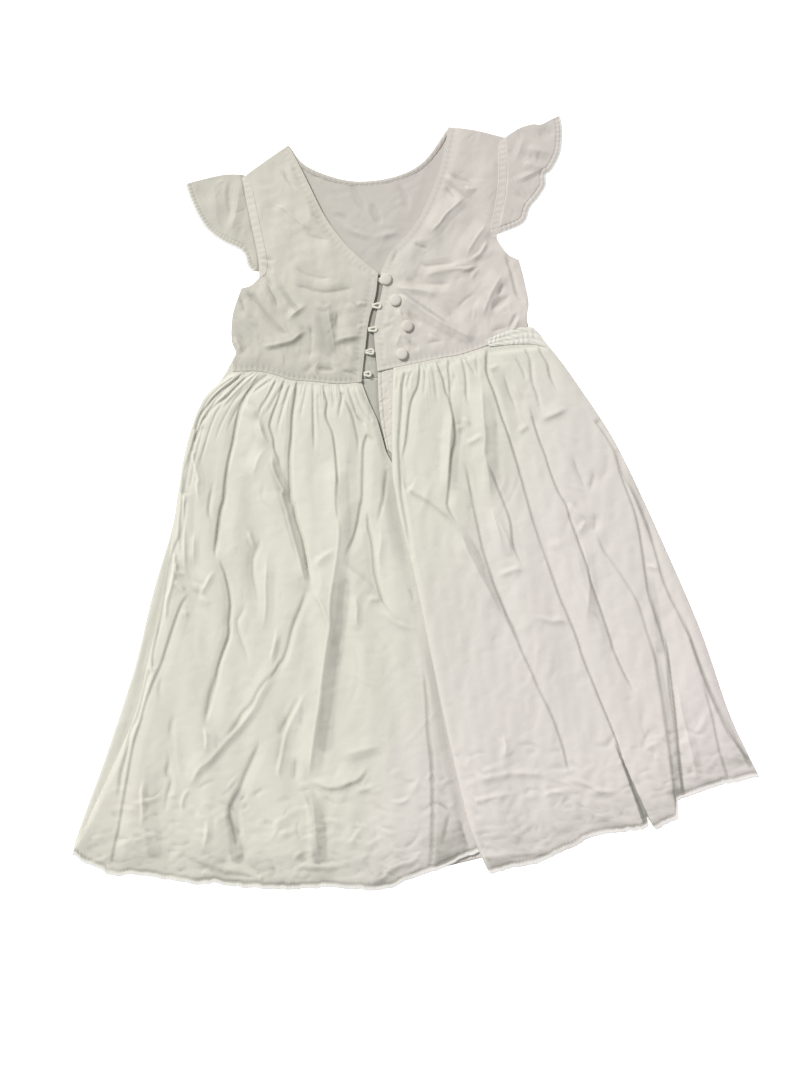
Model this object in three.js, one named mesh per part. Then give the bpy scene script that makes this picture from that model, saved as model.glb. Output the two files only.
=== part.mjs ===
// A toddler's summer dress of thin white cotton, unbuttoned and laid flat on its back.
//
// Millimetres. +X runs across the dress towards the wearer's left, +Y from hem to neck, +Z up.
// The tables below measure from the waist seam at the centre front; the finished group is then
// moved so that its origin is the bottom centre of its box.
//
// Layers, from the surface up: the back panels, the front panels on them, then what lies on the
// fronts. Each panel is a wall of cloth over a patch between four edges, raised where it folds.

import * as THREE from 'three';

const CLOTH = 1.2;                 // wall of one layer of cloth
const GAP = 0.3;                   // clear space at a seam and between layers
const LAYER = CLOTH + GAP;         // rise from one layer to the next
const SEAM = 0.45;                 // space along the sloping waist seam, 0.3 or more square to it

const PANEL_COLUMNS = 30;          // cells across a front panel, alike above and below the waist
const BODICE_ROWS = 9;
const OUTLINE_STEPS = 64;          // points round a flat panel
const SKIRT_ROWS = 13;

const COTTON = { color: 0xe2e0d4, roughness: 0.92, metalness: 0 };
const SHEER_COTTON = { color: 0xd3d0c8, roughness: 0.92, metalness: 0 };
const TRIM = { color: 0xe9e7dc, roughness: 0.9, metalness: 0 };

// Corners where several edges meet, as [across, along].
const CORNER = {
  neckLeft: [-72, 239],
  neckRight: [89, 240],
  shoulderLeft: [-122, 210],
  shoulderRight: [146, 223],
  vLeft: [4, 102],
  vRight: [6, 101],
  waistSideLeft: [-151, 20],
  waistSlitLeft: [-25, -5],
  waistSlitRight: [-7, 5],
  lap: [9, 6.4],
  waistSideRight: [147, 25],
  hemSideLeft: [-362, -445],
  hemLap: [52, -506],
  hemUnderlap: [62, -484],
  hemSideRight: [330, -438],
};

// Edges as runs of [across, along], each smooth, with a corner between two runs.
const EDGE = {
  armholeLeft: [[CORNER.shoulderLeft, [-118, 170], [-114, 130], [-115, 110]]],
  armholeRight: [[CORNER.shoulderRight, [141, 179], [132, 145], [125, 122]]],
  sideLeft: [[[-115, 110], [-124, 103], [-134, 101]],
    [[-134, 101], [-145, 76], [-149, 48], CORNER.waistSideLeft]],
  sideRight: [[[125, 122], [136, 106], [145, 100]],
    [[145, 100], [150, 60], CORNER.waistSideRight]],
  neckFrontLeft: [[CORNER.neckLeft, [-45, 168], [-20, 126], CORNER.vLeft]],
  neckFrontRight: [[CORNER.neckRight, [57, 163], [32, 132], CORNER.vRight]],
  openingLeft: [[CORNER.vLeft, [-10, 57], [-21, 10], CORNER.waistSlitLeft]],
  openingRight: [[CORNER.vRight, [-2, 62], [-7, 31], CORNER.waistSlitRight]],
  waistLeft: [[CORNER.waistSideLeft, [-127, 17], [-94, 5], [-60, -2], CORNER.waistSlitLeft]],
  waistUnderLap: [[CORNER.waistSlitRight, CORNER.lap]],
  waistRight: [[CORNER.lap, [40, 9], [75, 12], [106, 19], CORNER.waistSideRight]],
  neckBack: [[CORNER.neckLeft, [-45, 209], [5, 195], [60, 209], CORNER.neckRight]],
  slitLeft: [[CORNER.waistSlitLeft, [-14, -40], [-7, -76]],
    [[-7, -76], [14, -135], [36, -300], CORNER.hemUnderlap]],
  lap: [[CORNER.lap, [-3, -99], [0, -150], [16, -281], [30, -405], CORNER.hemLap]],
  skirtSideLeft: [[CORNER.waistSideLeft, [-190, -18], [-218, -112], [-258, -250],
    [-318, -368], CORNER.hemSideLeft]],
  skirtSideRight: [[CORNER.waistSideRight, [160, 2], [178, -22], [233, -120], [296, -328],
    CORNER.hemSideRight]],
  hemLeft: [[CORNER.hemSideLeft, [-320, -469], [-225, -489], [-66, -510], [10, -495],
    CORNER.hemUnderlap]],
  hemRight: [[CORNER.hemLap, [103, -500], [165, -480], [222, -474]],
    [[222, -474], [250, -452], CORNER.hemSideRight]],
};

// Main folds, one to a row: a soft ridge from one place to another on a panel.
const SKIRT_FOLDS_LEFT = [
  { from: [-144, -12], to: [-187, -168], height: 7, width: 15 },
  { from: [-184, -180], to: [-222, -335], height: 6, width: 18 },
  { from: [-119, -50], to: [-88, -230], height: 8, width: 15 },
  { from: [-93, -12], to: [-103, -125], height: 6, width: 12 },
  { from: [-62, -20], to: [-60, -170], height: 7, width: 13 },
  { from: [-64, -185], to: [-116, -390], height: 9, width: 18 },
  { from: [-30, -40], to: [-50, -165], height: 5, width: 12 },
  { from: [-34, -180], to: [-8, -245], height: 5, width: 11 },
  { from: [-214, -190], to: [-310, -410], height: 6, width: 16 },
  { from: [-105, -215], to: [-190, -340], height: 5, width: 18 },
  { from: [-165, -320], to: [-196, -470], height: 5, width: 18 },
  { from: [-2, -300], to: [-10, -495], height: 5, width: 13 },
];
const SKIRT_FOLDS_RIGHT = [
  { from: [22, -10], to: [12, -130], height: 5, width: 11 },
  { from: [54, -12], to: [54, -125], height: 6, width: 12 },
  { from: [84, -50], to: [112, -200], height: 7, width: 13 },
  { from: [114, -210], to: [144, -420], height: 7, width: 17 },
  { from: [107, -20], to: [138, -180], height: 9, width: 14 },
  { from: [140, -190], to: [214, -468], height: 10, width: 18 },
  { from: [142, -40], to: [208, -325], height: 8, width: 15 },
  { from: [206, -205], to: [242, -460], height: 6, width: 14 },
  { from: [212, -80], to: [256, -300], height: 9, width: 15 },
  { from: [236, -140], to: [296, -400], height: 8, width: 15 },
];
const BODICE_FOLDS_LEFT = [
  { from: [-118, 120], to: [-40, 70], height: 4, width: 18 },
  { from: [-100, 40], to: [-60, 52], height: 4, width: 12 },
  { from: [-30, 30], to: [-70, 20], height: 3, width: 12 },
];
const BODICE_FOLDS_RIGHT = [
  { from: [34, 88], to: [98, 45], height: 5, width: 14 },
  { from: [40, 100], to: [120, 122], height: 4, width: 18 },
  { from: [40, 55], to: [62, 28], height: 3, width: 12 },
];

// The sleeves are ruffles folded double along the shoulder. Sections run from the fold down.
const SLEEVE_LEFT = {
  fold: [[[-179, 210], [-148, 215], [-126, 214]]],
  hem: [[[-179, 210], [-168, 174], [-148, 151], [-131, 138], [-123, 117]]],
  armhole: [[[-126, 214], [-119.5, 170], [-116, 130], [-117, 116]]],
  end: [[[-123, 117], [-117, 116]]],
  folds: [{ from: [-123, 208], to: [-141, 155], height: 3, width: 9 }],
};
const SLEEVE_RIGHT = {
  fold: [[[147.5, 225], [172, 233], [201, 240]]],
  hem: [[[201, 240], [197, 199], [181, 181], [161, 150], [137, 129]]],
  armhole: [[[147.5, 225], [142.5, 179], [134, 145], [129, 131]]],
  end: [[[129, 131], [137, 129]]],
  folds: [{ from: [153, 196], to: [184, 188], height: 3, width: 10 }],
};

// Covered buttons down the right front, and the cord loops down the left opening.
const BUTTON = { radius: 5.8, neck: 2.2, shank: 3, dome: 4.2, segments: 14 };
const BUTTONS = [
  { name: 'button_1', across: 11, along: 95 },
  { name: 'button_2', across: 18, along: 73 },
  { name: 'button_3', across: 27, along: 46 },
  { name: 'button_4', across: 19, along: 19 },
];
const CORD = 2.2;                  // thickness of a loop's cord
const LOOPS = [
  { name: 'loop_1', root: [1, 95], reach: 15, spread: 4, angle: 0 },
  { name: 'loop_2', root: [-9, 70], reach: 12, spread: 2.3, angle: 2 },
  { name: 'loop_3', root: [-15, 47], reach: 12, spread: 2.3, angle: 3 },
  { name: 'loop_4', root: [-20, 25], reach: 12, spread: 2.3, angle: -8 },
  { name: 'loop_5', root: [-24, 3], reach: 12, spread: 2.3, angle: 2 },
];

const FOLD_TAPER = 5;              // a fold rises to its height over a fifth of its length
const BAND_WIDTH = 8;              // stitched band along an armhole
const BINDING = { width: 3, start: 0.12, steps: 16 };
const LAP_WIDTH = 30;              // how far the right skirt stays raised inside its lapped edge
const LAP_SLOPE = 25;              // and over what width it comes down
const LAP_STEPS = 40;
const REACH = 22;                  // cells this near to a small piece settle how high it lies
// The casing's upper and lower edges: where it starts, turns over the side and ends in front.
const CASING = {
  top: { along: 25, left: -150, turn: 163, end: 107 },
  bottom: { along: -2, left: -172, turn: 174, end: 113 },
};

function edge(runs) {
  const path = new THREE.CurvePath();
  for (const run of runs) {
    path.add(new THREE.SplineCurve(run.map(([x, y]) => new THREE.Vector2(x, y))));
  }
  return (t) => path.getPoint(t);
}

const joined = (...names) => names.flatMap((name) => EDGE[name]);
const smoothstep = (t) => THREE.MathUtils.smoothstep(t, 0, 1);

// A point of the patch between four edges: top and bottom run left to right, sides run down.
function patch(outline) {
  const [top, bottom, left, right] = [outline.top, outline.bottom, outline.left, outline.right]
    .map(edge);
  return (u, v) => {
    const point = new THREE.Vector2();
    point.addScaledVector(top(u), 1 - v).addScaledVector(bottom(u), v);
    point.addScaledVector(left(v), 1 - u).addScaledVector(right(v), u);
    point.addScaledVector(top(0), -(1 - u) * (1 - v)).addScaledVector(top(1), -u * (1 - v));
    point.addScaledVector(bottom(0), -(1 - u) * v).addScaledVector(bottom(1), -u * v);
    return point;
  };
}

// How high the folds in a table lift the cloth at a place: the highest ridge there wins.
function foldHeight(folds, x, y) {
  let height = 0;
  for (const fold of folds) {
    const along = new THREE.Vector2(fold.to[0] - fold.from[0], fold.to[1] - fold.from[1]);
    const offset = new THREE.Vector2(x - fold.from[0], y - fold.from[1]);
    const share = offset.dot(along) / along.lengthSq();
    const aside = Math.abs(offset.cross(along)) / along.length();
    const ends = smoothstep(share * FOLD_TAPER) * smoothstep((1 - share) * FOLD_TAPER);
    height = Math.max(height, fold.height * ends * smoothstep(1 - aside / fold.width));
  }
  return height;
}

// A closed wall of cloth on a grid of points: half its thickness to each side of them, either
// straight up and down or square to the cloth.
function wall(grid, squareToCloth = false) {
  const rows = grid.length;
  const columns = grid[0].length;
  const positions = [];
  const normalAt = (j, i) => {
    if (!squareToCloth) return new THREE.Vector3(0, 0, 1);
    const down = grid[Math.min(j + 1, rows - 1)][i].clone().sub(grid[Math.max(j - 1, 0)][i]);
    const across = grid[j][Math.min(i + 1, columns - 1)].clone().sub(grid[j][Math.max(i - 1, 0)]);
    return down.cross(across).normalize();
  };
  for (const side of [1, -1]) {
    for (let j = 0; j < rows; j++) {
      for (let i = 0; i < columns; i++) {
        const point = grid[j][i].clone().addScaledVector(normalAt(j, i), side * CLOTH / 2);
        positions.push(point.x, point.y, point.z);
      }
    }
  }
  const outer = (j, i) => j * columns + i;
  const inner = (j, i) => rows * columns + outer(j, i);
  const faces = [];
  const quad = (a, b, c, d) => faces.push(a, b, c, a, c, d);
  for (let j = 0; j + 1 < rows; j++) {
    for (let i = 0; i + 1 < columns; i++) {
      quad(outer(j, i), outer(j + 1, i), outer(j + 1, i + 1), outer(j, i + 1));
      quad(inner(j, i), inner(j, i + 1), inner(j + 1, i + 1), inner(j + 1, i));
    }
    quad(outer(j + 1, 0), outer(j, 0), inner(j, 0), inner(j + 1, 0));
    const last = columns - 1;
    quad(outer(j, last), outer(j + 1, last), inner(j + 1, last), inner(j, last));
  }
  for (let i = 0; i + 1 < columns; i++) {
    quad(outer(0, i), outer(0, i + 1), inner(0, i + 1), inner(0, i));
    const last = rows - 1;
    quad(outer(last, i + 1), outer(last, i), inner(last, i), inner(last, i + 1));
  }
  const geometry = new THREE.BufferGeometry();
  geometry.setAttribute('position', new THREE.Float32BufferAttribute(positions, 3));
  geometry.setIndex(faces);
  return geometry;
}

// A front panel: its patch, trimmed by half a seam at the waist, raised to a layer and by its
// folds. waist is the share down the panel where the seam is, and lift the layer's underside.
function panel({ outline, waist, rows, lift = () => LAYER, folds = [], columns = PANEL_COLUMNS }) {
  const at = patch(outline);
  const trim = (waist === 1 ? SEAM : -SEAM) / 2;
  const grid = [];
  for (let j = 0; j <= rows; j++) {
    const v = j / rows;
    const row = [];
    for (let i = 0; i <= columns; i++) {
      const { x, y } = at(i / columns, v);
      const raised = lift(x, y) + CLOTH / 2 + foldHeight(folds, x, y);
      row.push(new THREE.Vector3(x, y + trim * (1 - Math.abs(v - waist)), raised));
    }
    grid.push(row);
  }
  return grid;
}

// A flat panel on the surface, from its outline.
function flatPanel(runs, steps) {
  const outline = edge(runs);
  const points = [];
  for (let k = 0; k < steps; k++) points.push(outline(k / steps));
  const shape = new THREE.Shape(points);
  return new THREE.ExtrudeGeometry(shape, { depth: CLOTH, bevelEnabled: false });
}

// A ruffle folded double: up the lower layer, round the fold, then down the upper layer.
function sleeve(spec) {
  const columns = 7;
  const rows = 6;
  const turn = LAYER / 2;
  const leftward = spec.hem[0][0][0] < spec.armhole[0][0][0];
  const outline = { top: spec.fold, bottom: spec.end, left: spec.armhole, right: spec.hem };
  if (leftward) [outline.left, outline.right] = [spec.hem, spec.armhole];
  const at = patch(outline);
  const rowAt = (v, out, z, raised) => {
    const row = [];
    for (let i = 0; i <= columns; i++) {
      const { x, y } = at(i / columns, v);
      const rise = raised ? foldHeight(spec.folds, x, y) : 0;
      row.push(new THREE.Vector3(x, y + out, z + rise));
    }
    return row;
  };
  const low = CLOTH / 2;
  const grid = [];
  for (let j = rows; j >= 1; j--) grid.push(rowAt(j / rows, 0, low, false));
  for (let angle = -90; angle <= 90; angle += 45) {
    const radians = THREE.MathUtils.degToRad(angle);
    grid.push(rowAt(0, turn * (Math.cos(radians) - 1), low + turn * (1 + Math.sin(radians)), false));
  }
  for (let j = 1; j <= rows; j++) grid.push(rowAt(j / rows, 0, low + LAYER, true));
  return wall(grid, true);
}

// A band that follows one side of a panel, on its points, one layer up.
function bandOnPanel(grid, firstRow, lastRow, side, width) {
  const band = [];
  for (let j = firstRow; j <= lastRow; j++) {
    const row = side < 0 ? grid[j] : [...grid[j]].reverse();
    const inward = row[1].clone().sub(row[0]).setZ(0).normalize();
    const end = row[0].clone().addScaledVector(inward, width);
    const around = [grid[Math.max(j - 1, 0)], row, grid[j + 1]].flatMap((near) =>
      near.filter((point) => point.distanceTo(row[0]) < REACH));
    const height = Math.max(...around.map((point) => point.z)) + LAYER;
    const pair = [row[0].clone().setZ(height), end.setZ(height)];
    band.push(side < 0 ? pair : pair.reverse());
  }
  return wall(band);
}

// The binding of the back neckline: a strip just inside the edge, on the back panel.
function neckBinding() {
  const neckline = edge(EDGE.neckBack);
  const upper = [];
  const lower = [];
  for (let k = 0; k <= BINDING.steps; k++) {
    const t = BINDING.start + (1 - 2 * BINDING.start) * k / BINDING.steps;
    const { x, y } = neckline(t);
    upper.push(new THREE.Vector3(x, y, LAYER + CLOTH / 2));
    lower.push(new THREE.Vector3(x, y - BINDING.width, LAYER + CLOTH / 2));
  }
  return wall([upper, lower]);
}

// The elastic casing across the back waist. Its right end rolls over the side onto the front.
function casing() {
  const line = ({ along, left, turn, end }) => {
    const points = [new THREE.Vector3(left, along, CLOTH / 2)];
    for (let angle = -90; angle <= 90; angle += 45) {
      const radians = THREE.MathUtils.degToRad(angle);
      const across = turn + LAYER * (Math.cos(radians) - 1);
      const height = CLOTH / 2 + LAYER * (1 + Math.sin(radians));
      points.push(new THREE.Vector3(across, along, height));
    }
    points.push(new THREE.Vector3(end, along, CLOTH / 2 + 2 * LAYER));
    return points;
  };
  return wall([line(CASING.bottom), line(CASING.top)], true);
}

function button() {
  const { radius, neck, shank, dome, segments } = BUTTON;
  const profile = [new THREE.Vector2(0, 0), new THREE.Vector2(neck, 0), new THREE.Vector2(neck, shank)];
  for (const { share, rise } of [
    { share: 0.86, rise: 0 }, { share: 1, rise: 0.22 }, { share: 0.96, rise: 0.52 },
    { share: 0.78, rise: 0.8 }, { share: 0.42, rise: 0.96 }, { share: 0, rise: 1 },
  ]) {
    profile.push(new THREE.Vector2(radius * share, shank + dome * rise));
  }
  return new THREE.LatheGeometry(profile, segments).rotateX(Math.PI / 2);
}

// A loop of cord: out from its root, round, and back beside itself.
function loop({ reach, spread }) {
  const path = new THREE.CatmullRomCurve3([
    new THREE.Vector3(0, spread * 0.8, 0),
    new THREE.Vector3(reach * 0.45, spread, 0),
    new THREE.Vector3(reach - spread, spread, 0),
    new THREE.Vector3(reach, 0, 0),
    new THREE.Vector3(reach - spread, -spread, 0),
    new THREE.Vector3(reach * 0.45, -spread, 0),
    new THREE.Vector3(0, -spread * 0.8, 0),
  ]);
  const section = new THREE.Shape();
  section.absarc(0, 0, CORD / 2, 0, 2 * Math.PI);
  return new THREE.ExtrudeGeometry(section, { steps: 14, curveSegments: 4, extrudePath: path });
}

const dress = new THREE.Group();

function add(name, geometry, finish, place = [0, 0, 0], turnDegrees = 0) {
  const mesh = new THREE.Mesh(geometry, new THREE.MeshStandardMaterial(finish));
  mesh.name = name;
  mesh.position.set(...place);
  mesh.rotation.z = THREE.MathUtils.degToRad(turnDegrees);
  dress.add(mesh);
}

// Back panels and the casing between them.
const reversed = (runs) => [...runs].reverse().map((run) => [...run].reverse());
const casingTop = CASING.top.along + SEAM;
const skirtBackTop = CASING.bottom.along - SEAM;
const bodiceBackOutline = [
  [CORNER.shoulderLeft, CORNER.neckLeft], ...EDGE.neckBack, [CORNER.neckRight, CORNER.shoulderRight],
  ...EDGE.armholeRight, [[125, 122], [136, 106], [145, 100]],
  [[145, 100], [150, 60], [149, casingTop]], [[149, casingTop], [-150, casingTop]],
  [[-150, casingTop], [-149, 48], [-145, 76], [-134, 101]],
  [[-134, 101], [-124, 103], [-115, 110]], ...reversed(EDGE.armholeLeft),
];
const skirtBackOutline = [
  [[-176, skirtBackTop], [174, skirtBackTop]],
  [[174, skirtBackTop], [233, -120], [296, -328], CORNER.hemSideRight],
  [CORNER.hemSideRight, [200, -473], [52, -494], [-66, -505], [-225, -486], CORNER.hemSideLeft],
  [CORNER.hemSideLeft, [-281, -267], [-223, -112], [-190, -22], [-176, skirtBackTop]],
];
add('bodice_back', flatPanel(bodiceBackOutline, OUTLINE_STEPS), COTTON);
add('skirt_back', flatPanel(skirtBackOutline, OUTLINE_STEPS), COTTON);
add('waist_casing', casing(), TRIM);

// Front bodice panels.
const bodiceLeft = panel({
  outline: {
    top: [[CORNER.shoulderLeft, CORNER.neckLeft]],
    bottom: EDGE.waistLeft,
    left: joined('armholeLeft', 'sideLeft'),
    right: joined('neckFrontLeft', 'openingLeft'),
  },
  waist: 1,
  rows: BODICE_ROWS,
  folds: BODICE_FOLDS_LEFT,
});
const bodiceRight = panel({
  outline: {
    top: [[CORNER.neckRight, CORNER.shoulderRight]],
    bottom: joined('waistUnderLap', 'waistRight'),
    left: joined('neckFrontRight', 'openingRight'),
    right: joined('armholeRight', 'sideRight'),
  },
  waist: 1,
  rows: BODICE_ROWS,
  folds: BODICE_FOLDS_RIGHT,
});
add('bodice_front_left', wall(bodiceLeft), COTTON);
add('bodice_front_right', wall(bodiceRight), COTTON);

// Front skirt panels. The right one laps over the left one and over the facing of the slit.
const lapAt = edge(EDGE.lap);
function lapLift(x, y) {
  let nearest = lapAt(0);
  for (let k = 1; k <= LAP_STEPS; k++) {
    const point = lapAt(k / LAP_STEPS);
    if (Math.abs(point.y - y) < Math.abs(nearest.y - y)) nearest = point;
  }
  const inside = (x - nearest.x - LAP_WIDTH) / LAP_SLOPE;
  return LAYER + LAYER * (1 - smoothstep(inside));
}
add('skirt_front_left', wall(panel({
  outline: {
    top: EDGE.waistLeft,
    bottom: EDGE.hemLeft,
    left: EDGE.skirtSideLeft,
    right: EDGE.slitLeft,
  },
  waist: 0,
  rows: SKIRT_ROWS,
  folds: SKIRT_FOLDS_LEFT,
})), COTTON);
add('skirt_front_right', wall(panel({
  outline: {
    top: EDGE.waistRight,
    bottom: EDGE.hemRight,
    left: EDGE.lap,
    right: EDGE.skirtSideRight,
  },
  waist: 0,
  rows: SKIRT_ROWS,
  lift: lapLift,
  folds: SKIRT_FOLDS_RIGHT,
})), COTTON);
add('placket_facing', wall(panel({
  outline: {
    top: [[CORNER.waistSlitRight, CORNER.lap]],
    bottom: [[[-5.5, -74], [5, -84]]],
    left: [[CORNER.waistSlitRight, [-9, -35], [-5.5, -74]]],
    right: [[CORNER.lap, [8, -40], [5, -84]]],
  },
  waist: 0,
  rows: 6,
  columns: 2,
})), TRIM);

// Sleeves, the stitched bands of the armholes and the binding of the back neckline.
add('sleeve_left', sleeve(SLEEVE_LEFT), SHEER_COTTON);
add('sleeve_right', sleeve(SLEEVE_RIGHT), SHEER_COTTON);
add('armhole_band_left', bandOnPanel(bodiceLeft, 0, 4, -1, BAND_WIDTH), TRIM);
add('armhole_band_right', bandOnPanel(bodiceRight, 0, 4, 1, BAND_WIDTH), TRIM);
add('neck_binding', neckBinding(), TRIM);

// Buttons stand on the right front; loops lie on the left front's edge and reach over the gap.
function topNear(x, y) {
  const around = [...bodiceLeft, ...bodiceRight].flat()
    .filter((point) => Math.hypot(point.x - x, point.y - y) < REACH);
  return Math.max(...around.map((point) => point.z)) + CLOTH / 2;
}
for (const { name, across, along } of BUTTONS) {
  add(name, button(), TRIM, [across, along, topNear(across, along) + GAP]);
}
for (const spec of LOOPS) {
  const [x, y] = spec.root;
  const height = topNear(x + spec.reach / 2, y) + GAP + CORD / 2;
  add(spec.name, loop(spec), TRIM, [x, y, height], spec.angle);
}

const box = new THREE.Box3().setFromObject(dress);
const centre = box.getCenter(new THREE.Vector3());
dress.position.set(-centre.x, -centre.y, -box.min.z);

export default dress;
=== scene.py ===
import math

import bpy
import numpy as np
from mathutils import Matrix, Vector


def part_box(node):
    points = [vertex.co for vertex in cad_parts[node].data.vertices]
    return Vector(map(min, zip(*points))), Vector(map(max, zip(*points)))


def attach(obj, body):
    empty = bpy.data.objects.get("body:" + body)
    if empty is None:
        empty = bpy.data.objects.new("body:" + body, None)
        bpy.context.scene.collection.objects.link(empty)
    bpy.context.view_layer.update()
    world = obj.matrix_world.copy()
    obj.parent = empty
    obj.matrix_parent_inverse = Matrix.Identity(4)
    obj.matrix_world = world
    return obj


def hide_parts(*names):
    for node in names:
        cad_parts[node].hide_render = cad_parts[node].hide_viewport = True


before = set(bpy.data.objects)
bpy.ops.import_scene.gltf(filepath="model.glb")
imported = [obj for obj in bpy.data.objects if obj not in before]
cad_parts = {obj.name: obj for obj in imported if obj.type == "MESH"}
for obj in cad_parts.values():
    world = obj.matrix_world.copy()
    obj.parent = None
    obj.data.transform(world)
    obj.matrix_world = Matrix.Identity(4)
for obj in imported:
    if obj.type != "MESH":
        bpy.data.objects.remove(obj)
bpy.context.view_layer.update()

MM = 0.001
HEM_CORNER_X = -362                    # the skirt's leftmost corner in the tables
SLEEVE_TIP_Y = 240                     # and the highest point of the right sleeve
ORIGIN = Vector((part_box("skirt_front_left")[0][0] - HEM_CORNER_X * MM,
                 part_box("sleeve_right")[1][1] - SLEEVE_TIP_Y * MM, 0))

CLOTH = 0.5                            # thickness of the shown cloth
BACK_Z = 0.6                           # top of the back panels
FRONT_Z = 2.2                          # top of the front panels where they lie flat
LAP_Z = 3.4                            # and of the right skirt along its lapped edge
SKIRT_LIFT = 3.4                       # how far the skirt's cloth stands off what it lies on
FULL_HOLLOW = 0.45                     # a hollow this deep is shaded in full
LEAST_LIFT = 0.6                       # the least that cloth stands off the layer under it


# ---------------------------------------------------------------- curves, patches and profiles

def smooth(t):
    t = np.clip(t, 0, 1)
    return t * t * (3 - 2 * t)


def spline(points, steps=12):
    """A smooth line through the points, as many close points."""
    p = np.array(points, float)
    if len(p) == 2:
        return p[0] + (p[1] - p[0]) * np.linspace(0, 1, steps)[:, None]
    p = np.vstack([2 * p[0] - p[1], p, 2 * p[-1] - p[-2]])
    t = np.linspace(0, 1, steps, endpoint=False)[:, None]
    runs = [0.5 * (2 * b + (c - a) * t + (2 * a - 5 * b + 4 * c - d) * t**2
                   + (3 * b - a - 3 * c + d) * t**3)
            for a, b, c, d in zip(p, p[1:], p[2:], p[3:])]
    return np.vstack(runs + [p[-2:-1]])


def edge(*runs):
    """Runs of points, each smooth, joined with a corner between two runs."""
    return np.vstack([spline(run) for run in runs])


def along(line, shares):
    """The places at the given shares of a line's length."""
    length = np.r_[0, np.cumsum(np.linalg.norm(np.diff(line, axis=0), axis=1))]
    at = np.asarray(shares) * length[-1]
    return np.stack([np.interp(at, length, line[:, k]) for k in (0, 1)], axis=-1)


def patch(top, bottom, left, right, us, vs):
    """A grid between four edges: top and bottom run left to right, the sides run down."""
    t, b, l, r = along(top, us), along(bottom, us), along(left, vs), along(right, vs)
    u, v = us[None, :, None], vs[:, None, None]
    p = (1 - v) * t[None] + v * b[None] + (1 - u) * l[:, None] + u * r[:, None]
    p -= (1 - u) * (1 - v) * t[0] + u * (1 - v) * t[-1] + (1 - u) * v * b[0] + u * v * b[-1]
    return p[..., 0], p[..., 1]


def distance(x, y, line):
    """Signed distance to a line, positive on its left as it runs, and the share along it."""
    best = np.full(x.shape, np.inf)
    side = np.zeros(x.shape)
    share = np.zeros(x.shape)
    lengths = np.r_[0, np.cumsum(np.linalg.norm(np.diff(line, axis=0), axis=1))]
    for k, (a, b) in enumerate(zip(line, line[1:])):
        run = b - a
        size = max(run @ run, 1e-9)
        t = np.clip(((x - a[0]) * run[0] + (y - a[1]) * run[1]) / size, 0, 1)
        dx, dy = x - a[0] - t * run[0], y - a[1] - t * run[1]
        d = dx * dx + dy * dy
        near = d < best
        best = np.where(near, d, best)
        side = np.where(near, np.sign(run[0] * dy - run[1] * dx), side)
        share = np.where(near, (lengths[k] + t * math.sqrt(size)) / lengths[-1], share)
    return np.sqrt(best) * side, share


def fold(x, y, points, height, left, right, fades=(24, 24), power=1.1):
    """A ridge (or trough) on a line that runs down the cloth, left and right its two flanks.
    fades are the lengths over which its two ends die away."""
    line = spline(points, 5)
    reach = max(left, right) * 1.15
    low, high = line.min(axis=0) - reach, line.max(axis=0) + reach
    near = (x > low[0]) & (x < high[0]) & (y > low[1]) & (y < high[1])
    z = np.zeros(x.shape)
    d, share = distance(x[near], y[near], line)
    length = np.linalg.norm(np.diff(line, axis=0), axis=1).sum()
    crest = 0.05 * min(left, right) + 0.08
    width = np.where(d > 0, right, left)
    a = (np.sqrt(d * d + crest**2) - crest) / width
    foot = (1 - a + np.sqrt((1 - a) ** 2 + 0.004)) / 2
    start, end = (min(f, length * 0.4) for f in fades)
    ends = smooth(share * length / start) * smooth((1 - share) * length / end)
    z[near] = height * ends * np.clip(foot, 0, 1) ** power * (a < 1.6)
    return z


def fold_table(x, y, rows, outline=None, crisp=0.0, fade=24):
    """All the folds of a table; crisp is how much a sharp line adds along each marked one."""
    z = np.zeros(x.shape)
    for height, left, right, *points in rows:
        fades = [fade, fade]
        for k, end in enumerate((points[0], points[-1])):
            if outline is not None and np.linalg.norm(outline - np.array(end), axis=1).min() < 14:
                fades[k] = 3
        z += fold(x, y, points, height, left, right, fades)
        if crisp and abs(height) > 0.9:
            z += fold(x, y, points, math.copysign(crisp, height), 1.7, 2.3, fades, 1.0)
    return z


def crinkles(x, y, count, area, angle, spread, length, height, width, seed):
    """Many small creases strewn over an area, about one angle, from a fixed seed."""
    draw = np.random.default_rng(seed)
    z = np.zeros(x.shape)
    for _ in range(count):
        cx = draw.uniform(area[0], area[2])
        cy = draw.uniform(area[1], area[3])
        turn = math.radians(angle + draw.normal() * spread)
        size = length * draw.uniform(0.5, 1.5)
        bend = draw.normal() * size * 0.12
        way = np.array([math.cos(turn), math.sin(turn)])
        across = np.array([-way[1], way[0]])
        middle = np.array([cx, cy])
        points = [middle - way * size / 2, middle + across * bend, middle + way * size / 2]
        h = height * draw.uniform(0.4, 1.3) * draw.choice([-1, 1])
        w = width * draw.uniform(0.6, 1.6)
        z += fold(x, y, points, h, w, w * draw.uniform(0.5, 1.2), (size, size))
    return z


def swell(x, y, size, seed):
    """Broad soft unevenness between -1 and 1."""
    draw = np.random.default_rng(seed)
    z = np.zeros(x.shape)
    for _ in range(7):
        turn = draw.uniform(0, math.pi)
        wave = size * draw.uniform(0.6, 1.8)
        phase = draw.uniform(0, 2 * math.pi)
        z += np.sin((x * math.cos(turn) + y * math.sin(turn)) * 2 * math.pi / wave + phase)
    return z / 7


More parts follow.
